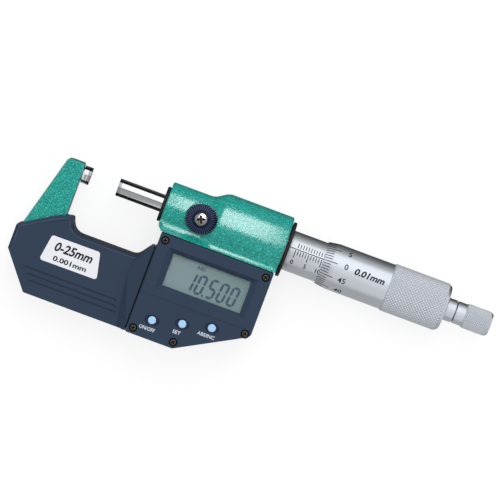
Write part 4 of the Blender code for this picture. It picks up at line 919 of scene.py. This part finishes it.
def build_thimble():
    rows = [(THIMBLE_X + 0.05 * MM, THIMBLE_BORE_R), (THIMBLE_X, THIMBLE_BORE_R + 0.05 * MM),
            (THIMBLE_X, THIMBLE_LIP_R - 0.06 * MM), (THIMBLE_X + 0.08 * MM, THIMBLE_LIP_R),
            (BEVEL_END_X - 0.25 * MM, bevel_radius(BEVEL_END_X - 0.25 * MM)),
            (BEVEL_END_X + 0.25 * MM, THIMBLE_R), (GRIP_X - 0.1 * MM, THIMBLE_R),
            (GRIP_X, THIMBLE_R + 0.03 * MM)]
    rows += knurl_rows(GRIP_X + 0.1 * MM, GRIP_END_X, 2 * GRIP_ROWS, GRIP_R, KNURL_DEPTH, 0.1 * MM)
    end_r = GRIP_R - 1.0 * MM
    wall_x = THIMBLE_END_X - 8.0 * MM
    rows += [(GRIP_END_X + 0.1 * MM, GRIP_R - KNURL_DEPTH - 0.06 * MM),
             (THIMBLE_END_X - 0.15 * MM, end_r + 0.1 * MM), (THIMBLE_END_X, end_r - 0.1 * MM),
             (THIMBLE_END_X, 3.6 * MM), (THIMBLE_END_X - 0.2 * MM, 3.4 * MM),
             (wall_x, 3.88 * MM), (wall_x, THIMBLE_BORE_R)]
    obj = stand_in("thimble_body", lathe(rows, 2 * GRIP_DIAMONDS), "thimble", KNURL_SHARP)
    refinish(obj, KNURL,
             lambda c: GRIP_X < c.x < GRIP_END_X and math.hypot(c.y, c.z) > THIMBLE_R)


build_thimble()


def on_thimble(u, v, h):
    return round_spindle(u, v, THIMBLE_R, bevel_radius(u) + h)


LONG_LINE_X = 93.8 * MM
SHORT_LINE_X = 91.6 * MM
bm = bmesh.new()
girth = 2 * math.pi * THIMBLE_R
for k in range(DIVISIONS):
    v = k * girth / DIVISIONS
    end = SHORT_LINE_X if k % 5 else LONG_LINE_X
    bar(bm, THIMBLE_X + 0.12 * MM, end, v - LINE / 2, v + LINE / 2, UNDER, OVER)
    if k % 5 == 0:
        words(bm, str(k), 2.2 * MM, (97.2 * MM, v), UNDER, OVER, bold=0.015)
words(bm, "0.01mm", 2.5 * MM, (106.2 * MM, -0.3 * MM), UNDER, OVER, bold=0.035, slant=0.2,
      width=11.4 * MM)
cut_across(bm, steps_between(-1.6 * MM, girth, 0.4 * MM), (0, 1, 0))
cut_across(bm, [BEVEL_END_X], (1, 0, 0))
laid("thimble_scale", bm, on_thimble, ENGRAVING, "spindle", "satin_steel")


# Ratchet knob

def build_ratchet_knob():
    diamonds = 32
    grip_rows = 10
    neck = 4.15 * MM
    top = KNOB_GRIP_R
    bore = 3.45 * MM
    screw_r = 1.58 * MM
    hollow_r = 3.2 * MM
    floor_x = 148.0 * MM
    seat_x = 149.6 * MM
    grip_x = KNOB_X + 3.4 * MM
    grip_end_x = KNOB_END_X - 0.6 * MM
    rows = [(KNOB_X, bore), (KNOB_X, neck - 0.15 * MM), (KNOB_X + 0.15 * MM, neck),
            (grip_x - 0.1 * MM, neck), (grip_x, neck + 0.05 * MM),
            (grip_x + 0.05 * MM, top - KNOB_KNURL_DEPTH - 0.1 * MM)]
    rows += knurl_rows(grip_x + 0.15 * MM, grip_end_x, 2 * grip_rows, top, KNOB_KNURL_DEPTH,
                       0.05 * MM)
    rows += [(KNOB_END_X - 0.1 * MM, top - 0.62 * MM), (KNOB_END_X, top - 0.75 * MM),
             (KNOB_END_X, hollow_r + 0.2 * MM), (KNOB_END_X - 0.2 * MM, hollow_r),
             (seat_x, hollow_r), (seat_x, screw_r), (floor_x, screw_r), (floor_x, bore)]
    obj = stand_in("ratchet_grip", lathe(rows, 2 * diamonds), "ratchet_knob", KNURL_SHARP)
    refinish(obj, KNOB_KNURL,
             lambda c: grip_x < c.x < grip_end_x and math.hypot(c.y, c.z) > neck)


build_ratchet_knob()


# Spindle lock

def build_lock_wheel():
    columns = 4 * 38       # two for each rib and two for each groove

    def ribbed(outer, depth):
        return lambda k: outer if k % 4 < 2 else outer - depth

    def on_rib(centre):
        turn = math.atan2(centre.y, centre.x - LOCK_X) / (2 * math.pi) * columns
        far = math.hypot(centre.x - LOCK_X, centre.y)
        return int(turn % columns) % 4 == 0 and far > 3.5 * MM and centre.z > LOCK_Z + 0.1 * MM

    rows = [(0.0, 1.9 * MM), (0.0, LOCK_R - 0.45 * MM), (0.25 * MM, ribbed(LOCK_R, 0.3 * MM)),
            (1.35 * MM, ribbed(LOCK_R, 0.35 * MM)),
            (1.6 * MM, ribbed(LOCK_R - 0.12 * MM, 0.45 * MM)),
            (2.75 * MM, ribbed(3.9 * MM, 0.45 * MM)), (2.92 * MM, 3.4 * MM), (3.0 * MM, 3.3 * MM),
            (2.96 * MM, 3.2 * MM), (2.62 * MM, 2.9 * MM), (2.5 * MM, 2.55 * MM),
            (2.5 * MM, 1.9 * MM)]
    obj = stand_in("lock_wheel", lathe(rows, columns, "Z", (LOCK_X, 0, LOCK_Z)), "lock_knob", 12.0,
                   FINISHES["dark_plastic"])
    # Painted highlight on the faces of the wheel's ribs.
    refinish(obj, RIB_PAINTED_HIGHLIGHT, on_rib)


build_lock_wheel()


def cross_cutter(reach, depth, top):
    """A plus-shaped, tapered plug that leaves a cross recess."""
    bm = bmesh.new()
    rings = []
    for z, far, half in ((top + 0.3 * MM, reach, reach * 0.26),
                         (top - depth, reach * 0.4, reach * 0.16)):
        corner = ((far, -half), (far, half), (half, half))
        outline = [Matrix.Rotation(math.pi / 2 * quarter, 2) @ Vector(p)
                   for quarter in range(4) for p in corner]
        rings.append([bm.verts.new((p.x, p.y, z)) for p in outline])
    prism(bm, rings)
    bmesh.ops.recalc_face_normals(bm, faces=bm.faces)
    mesh = mesh_of("cross_recess", bm)
    # Painted shade inside the cross recess, which the cut passes on to the screw.
    mesh.materials.append(RECESS_PAINTED_SHADE)
    return added("cross_recess", mesh)


def cross_screw(name, source, at, head_r, under, top, low, shank_r, material, turn, flip=False):
    """A screw with a domed head and a cross recess, along Z; flip turns it face down."""
    tall = top - under
    rows = [(low, 0), (low, shank_r), (under, shank_r), (under, head_r),
            (under + tall * 0.35, head_r)]
    for k in range(1, 6):
        a = math.pi / 2 * k / 5
        rows.append((under + tall * (0.35 + 0.65 * math.sin(a)),
                     head_r * (0.42 + 0.58 * math.cos(a))))
    rows.append((top, 0))
    obj = stand_in(name, lathe(rows, ROUND_SMALL, "Z", closed=False), source, 30.0, material)
    cutter = cross_cutter(head_r * 0.72, tall * 0.7, top)
    cutter.rotation_euler.z = turn
    cut = obj.modifiers.new("recess", "BOOLEAN")
    cut.object = cutter
    cut.solver = "EXACT"
    cut.material_mode = "TRANSFER"
    bpy.context.view_layer.update()
    settled(obj)
    bpy.data.objects.remove(cutter)
    place = Matrix.Translation(at)
    if flip:
        place = place @ Matrix.Rotation(math.pi, 4, "X")
    obj.data.transform(place)
    smooth(obj.data, 30.0)
    return obj


def screw_from(name, source, turn, head_h, flip=False):
    """A case screw over the CAD's own; a flipped one is made face up and turned over."""
    low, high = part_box(source)
    centre = (low + high) / 2
    head_r = (high.x - low.x) / 2
    top, foot = (-low.z, -high.z) if flip else (high.z, low.z)
    cross_screw(name, source, (centre.x, centre.y, 0), head_r, top - head_h, top, foot,
                head_r * (0.52 if flip else 0.55), FINISHES["dark_screw"], turn, flip)


for k, turn in enumerate((0.35, 0.9, 0.15, 0.6, 1.2), 1):
    screw_from("case_screw_%d" % k, "housing_screw_%d" % k, turn, 0.8 * MM)
for k, turn in enumerate((0.2, 0.75), 1):
    screw_from("back_screw_%d" % k, "cover_screw_%d" % k, turn, 0.6 * MM, True)
lock_low, lock_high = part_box("lock_screw")
pan_screw = cross_screw("lock_pan_screw", "lock_screw", (LOCK_X, 0, 0), 2.45 * MM, 10.4 * MM,
                        lock_high.z, lock_low.z, 1.0 * MM, SCREW_SILVER, math.radians(22))


# Buttons, legends, label and display

def panel_z(y):
    return HOUSING_Z - PANEL_DROP * max(0.0, PANEL_Y - y) / (PANEL_Y - FOOT_Y)


def build_button(name, source):
    low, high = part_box(source)
    centre = (low + high) / 2
    top = high.z
    shoulder = 9.6 * MM
    stem_r, flange_r, cap_r = 0.9 * MM, 2.1 * MM, 1.45 * MM
    rows = [(low.z, 0), (low.z, stem_r), (shoulder - 0.6 * MM, stem_r),
            (shoulder - 0.6 * MM, flange_r), (shoulder, flange_r), (shoulder, cap_r),
            (top - 0.28 * MM, cap_r), (top - 0.12 * MM, 1.38 * MM), (top - 0.02 * MM, 1.22 * MM),
            (top, 1.0 * MM), (top - 0.04 * MM, 0.5 * MM), (top - 0.05 * MM, 0)]
    bm = lathe(rows, ROUND_SMALL, "Z", (centre.x, centre.y, 0), closed=False)
    stand_in(name, bm, source, 35.0)


for label in BUTTONS:
    build_button(label + "_cap", "button_" + label)


def on_panel(u, v, h):
    return (u, v, panel_z(v) + h)


def on_level(level):
    return lambda u, v, h: (u, v, level + h)


# Words, with their height, middle and width in millimetres
LEGENDS = (("ON/OFF", 1.35, 37.9, -43.3, 5.9), ("SET", 1.35, 48.3, -40.9, 2.9),
           ("ABS/INC", 1.35, 58.5, -38.3, 6.4))
bm = bmesh.new()
for text, tall, u, v, wide in LEGENDS:
    words(bm, text, tall * MM, (u * MM, v * MM), -PANEL_LIFT, PANEL_LIFT, bold=0.02,
          width=wide * MM)
laid("button_legends", bm, on_panel, LEGEND, "frame", "label_white")

# Painted shade: a dark line laid along the crease across the panel.
CREASE = 0.18 * MM
case_low, case_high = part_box("housing_front")
bm = bmesh.new()
bar(bm, case_low.x + 0.5 * MM, case_high.x - 1.4 * MM, PANEL_Y - CREASE / 2, PANEL_Y + CREASE / 2,
    UNDER, LINE_LIFT)
laid("panel_crease_painted_shade", bm, on_panel, FINISHES["dark_plastic"], "frame", "navy_plastic")

# The same, with their slant
LABEL_LINES = (("0-25mm", 3.5, 4.0, -27.3, 14.2, 0.2), ("0.001mm", 1.9, 3.9, -31.6, 12.6, 0.0))
bm = bmesh.new()
for text, tall, u, v, wide, slant in LABEL_LINES:
    words(bm, text, tall * MM, (u * MM, v * MM), -PANEL_LIFT, PANEL_LIFT, 0.03, slant, wide * MM)
laid("label_words", bm, on_level(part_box("label_plate")[1].z), LABEL_INK, "frame", "label_white")

# Seven bars of one digit, as (side, level) of the ends in a cell of unit half width and height
BARS = {
    "a": ((-1, 1), (1, 1)), "b": ((1, 1), (1, 0)), "c": ((1, 0), (1, -1)), "d": ((-1, -1), (1, -1)),
    "e": ((-1, 0), (-1, -1)), "f": ((-1, 1), (-1, 0)), "g": ((-1, 0), (1, 0)),
}
DIGITS = {"0": "abcdef", "1": "bc", "5": "acdfg"}


LEAN = 0.13                # how far the figures lean for their height
DIGIT_Y = -22.3 * MM
HALF_W = 1.14 * MM
HALF_H = 3.3 * MM
THICK = 0.9 * MM
BAR_GAP = 0.05 * MM
SHOWN = (("1", 46.7), ("0", 50.55), ("5", 54.95), ("0", 58.9), ("0", 62.9))
POINT_X = 52.75 * MM
POINT_HALF = 0.3 * MM
POINT_DEPTH = 0.42 * MM


def leaning(x, y):
    return (x + y * LEAN, y + DIGIT_Y)


def segment(bm, start, end):
    """One bar with pointed ends."""
    along = (Vector(end) - Vector(start)).normalized()
    side = Vector((-along.y, along.x)) * (THICK / 2)
    a = Vector(start) + along * BAR_GAP
    b = Vector(end) - along * BAR_GAP
    tip = along * (THICK / 2)
    solid(bm, [a, a + tip - side, b - tip - side, b, b - tip + side, a + tip + side],
          0.0, DISPLAY_LIFT)


bm = bmesh.new()
for digit, x in SHOWN:
    for key in DIGITS[digit]:
        segment(bm, *(leaning(x * MM + side * HALF_W, level * HALF_H) for side, level in BARS[key]))
x, y = leaning(POINT_X, -HALF_H)
bar(bm, x - POINT_HALF, x + POINT_HALF, y - POINT_DEPTH, y + POINT_HALF, 0.0, DISPLAY_LIFT)
words(bm, "ABS", 1.4 * MM, (48.8 * MM, -16.6 * MM), 0.0, DISPLAY_LIFT, bold=0.025, width=3.3 * MM)
laid("display_figures", bm, on_level(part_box("display_glass")[1].z), SEGMENT, "frame", "display")


# Floor, lights and camera

FLOOR_GLOW = 0.78
FLOOR_HALF = 3.0
SKY_LEVEL = 0.86


def seen_rays(tree, others=None):
    """1 for the camera's rays, and for mirrored and refracted ones, dimmed by others."""
    path = node(tree, "ShaderNodeLightPath").outputs
    mirrored = combine(tree, "MAXIMUM", path["Is Glossy Ray"], path["Is Transmission Ray"])
    if others:
        mirrored = combine(tree, "MULTIPLY", mirrored, others)
    return combine(tree, "MAXIMUM", path["Is Camera Ray"], mirrored)


def card(name, corners):
    bm = bmesh.new()
    bm.faces.new([bm.verts.new(c) for c in corners])
    return added(name, mesh_of(name, bm))


def level_card(name, west, east, south, north, z):
    return card(name, [(west, south, z), (east, south, z), (east, north, z), (west, north, z)])


def build_floor():
    floor = level_card("floor", -FLOOR_HALF, FLOOR_HALF, -FLOOR_HALF, FLOOR_HALF, REST_Z)
    material, tree, shader = new_finish("pale_floor", Base_Color=(0.26, 0.26, 0.262, 1),
                                        Roughness=0.9, Specular_IOR_Level=0.05)
    glow = node(tree, "ShaderNodeEmission")
    tree.links.new(combine(tree, "MULTIPLY", seen_rays(tree), FLOOR_GLOW), glow.inputs["Strength"])
    both = node(tree, "ShaderNodeAddShader")
    tree.links.new(shader.outputs["BSDF"], both.inputs[0])
    tree.links.new(glow.outputs["Emission"], both.inputs[1])
    tree.links.new(both.outputs["Shader"], tree.nodes["Material Output"].inputs["Surface"])
    floor.data.materials.append(material)


def build_world():
    """Soft light from above, weaker from -Y, and dark towards the horizon but for the backdrop."""
    world = bpy.data.worlds.new("studio")
    bpy.context.scene.world = world
    world.use_nodes = True
    tree = world.node_tree
    tree.nodes.clear()
    out = node(tree, "ShaderNodeOutputWorld")
    parts = node(tree, "ShaderNodeSeparateXYZ")
    tree.links.new(node(tree, "ShaderNodeTexCoord").outputs["Generated"], parts.inputs[0])

    def slope(axis, kind, **ends):
        made = put(node(tree, "ShaderNodeMapRange", interpolation_type=kind), **ends)
        tree.links.new(parts.outputs[axis], made.inputs["Value"])
        return made.outputs[0]

    height = slope("Z", "SMOOTHSTEP", From_Min=0.02, From_Max=0.5, To_Min=0.42, To_Max=SKY_LEVEL)
    side = slope("Y", "SMOOTHSTEP", From_Min=-0.42, From_Max=-0.1, To_Min=0.84, To_Max=1.0)
    backdrop = slope("Z", "LINEAR", From_Min=0.14, From_Max=0.1)
    strength = node(tree, "ShaderNodeMix", data_type="FLOAT")
    strength.inputs["B"].default_value = 1.0
    tree.links.new(seen_rays(tree, backdrop), strength.inputs["Factor"])
    tree.links.new(combine(tree, "MULTIPLY", height, side), strength.inputs["A"])
    sky = put(node(tree, "ShaderNodeBackground"), Color=WHITE)
    tree.links.new(strength.outputs["Result"], sky.inputs["Strength"])
    tree.links.new(sky.outputs[0], out.inputs["Surface"])


def flag(obj, tone):
    """Make a card matt and seen by mirror-like surfaces only, as photographers shade metal."""
    finish = new_finish(obj.name + "_card", Base_Color=(0, 0, 0, 1), Roughness=1.0,
                        Specular_IOR_Level=0.0, Emission_Color=WHITE, Emission_Strength=tone)
    obj.data.materials.append(finish[0])
    for ray in ("camera", "diffuse", "transmission", "shadow"):
        setattr(obj, "visible_" + ray, False)


# Cards, in metres: name, west, east, south, north, height, and how bright they are
LOW_Z = REST_Z + 0.05 * MM
HIGH_Z = 0.3
LEVEL_FLAGS = (
    ("north_flag_near", -0.06, 0.22, 0.004, 0.025, LOW_Z, 0.06),
    ("north_flag_next", -0.06, 0.22, 0.0251, 0.05, LOW_Z, 0.16),
    ("north_flag_mid", -0.06, 0.22, 0.0501, 0.09, LOW_Z, 0.27),
    ("north_flag_far", -0.3, 0.4, 0.0901, 0.3, LOW_Z, 0.42),
    ("south_flag_far", -0.3, 0.4, -0.3, 0.0039, LOW_Z, 0.45),
    ("throat_flag", -0.001, 0.027, -0.0145, 0.0035, LOW_Z, 0.02),
    ("spindle_middle_flag", -0.03, 0.028, -0.028, 0.014, HIGH_Z, 0.08),
    ("spindle_low_flag", -0.03, 0.028, -0.9, -0.0281, HIGH_Z, 0.36),
)
# Upright cards on the floor: name, west, east, Y, top and how bright they are
WALL_FLAGS = (
    ("south_wall_flag", -0.3, 0.4, -0.3, 0.1, 0.42),
    ("north_wall_flag", -0.3, 0.4, 0.3, 0.08, 0.5),
    ("spindle_flag", -0.03, 0.027, 0.03, 0.012, 0.01),
    ("throat_wall_flag", -0.001, 0.027, -0.0144, 0.005, 0.01),
)


def lamp(name, place, target, size, power, unseen_by):
    """A rectangular light that neither the camera nor this kind of ray sees."""
    data = bpy.data.lights.new(name, "AREA")
    data.shape = "RECTANGLE"
    data.size, data.size_y = size
    data.energy = power
    obj = added(name, data)
    obj.location = place
    obj.rotation_mode = "QUATERNION"
    obj.rotation_quaternion = (Vector(place) - Vector(target)).to_track_quat("Z", "X")
    obj.visible_camera = False
    setattr(obj, "visible_" + unseen_by, False)
    return obj


build_floor()
build_world()
for name, west, east, south, north, z, tone in LEVEL_FLAGS:
    flag(level_card(name, west, east, south, north, z), tone)
for name, west, east, y, top, tone in WALL_FLAGS:
    flag(card(name, [(west, y, REST_Z), (east, y, REST_Z), (east, y, top), (west, y, top)]), tone)
MIDDLE = (0.066, -0.012, 0.0)
BARREL_TOP = (0.050, 0.004, 0.0115)
lamp("key_softbox", (0.06, 0.5, 0.5), MIDDLE, (1.0, 0.38), 2.6, "glossy")
lamp("fill_softbox", (-0.15, 0.0, 0.95), MIDDLE, (0.6, 0.5), 0.3, "glossy")
lamp("reflected_card", (0.06, 0.54, 0.455), MIDDLE, (1.0, 0.34), 0.42, "diffuse")
strip = lamp("barrel_strip", (0.050, 0.028, 0.0435), BARREL_TOP, (0.058, 0.042), 0.084, "diffuse")
strip_lit = bpy.data.collections.new("strip_lit")
strip_lit.objects.link(casting)
strip_lit.objects.link(pan_screw)
strip.light_linking.receiver_collection = strip_lit

PHOTO_TURN = math.radians(20.4)
PHOTO_RISE = math.radians(3.5)
CAMERA_REACH = 1.0
SENSOR_MM = 36.0
PICTURE = 500              # pixels across and down
PIXELS_PER_MM = 2.775
ANCHOR = Vector((60.0 * MM, -15.0 * MM, 0.0))
ANCHOR_PIXEL = (232.7, 273.7)

right = Vector((math.cos(PHOTO_TURN), math.sin(PHOTO_TURN), 0))
upward = Vector((-math.sin(PHOTO_TURN), math.cos(PHOTO_TURN), 0))
away = upward * math.sin(PHOTO_RISE) + Vector((0, 0, math.cos(PHOTO_RISE)))
up = away.cross(right)
off_right, off_down = ((PICTURE / 2 - pixel) / PIXELS_PER_MM * MM for pixel in ANCHOR_PIXEL)
aim = ANCHOR + right * off_right - upward * off_down / math.cos(PHOTO_RISE)
lens = bpy.data.cameras.new("camera")
lens.sensor_width = SENSOR_MM
lens.lens = SENSOR_MM * CAMERA_REACH / (PICTURE / PIXELS_PER_MM * MM)
lens.clip_start = 0.01
lens.clip_end = 20.0
viewer = added("camera", lens)
turn = Matrix((right, up, away)).transposed()
viewer.matrix_world = Matrix.Translation(aim + away * CAMERA_REACH) @ turn.to_4x4()
bpy.context.scene.camera = viewer

bpy.context.scene.view_settings.view_transform = "Standard"
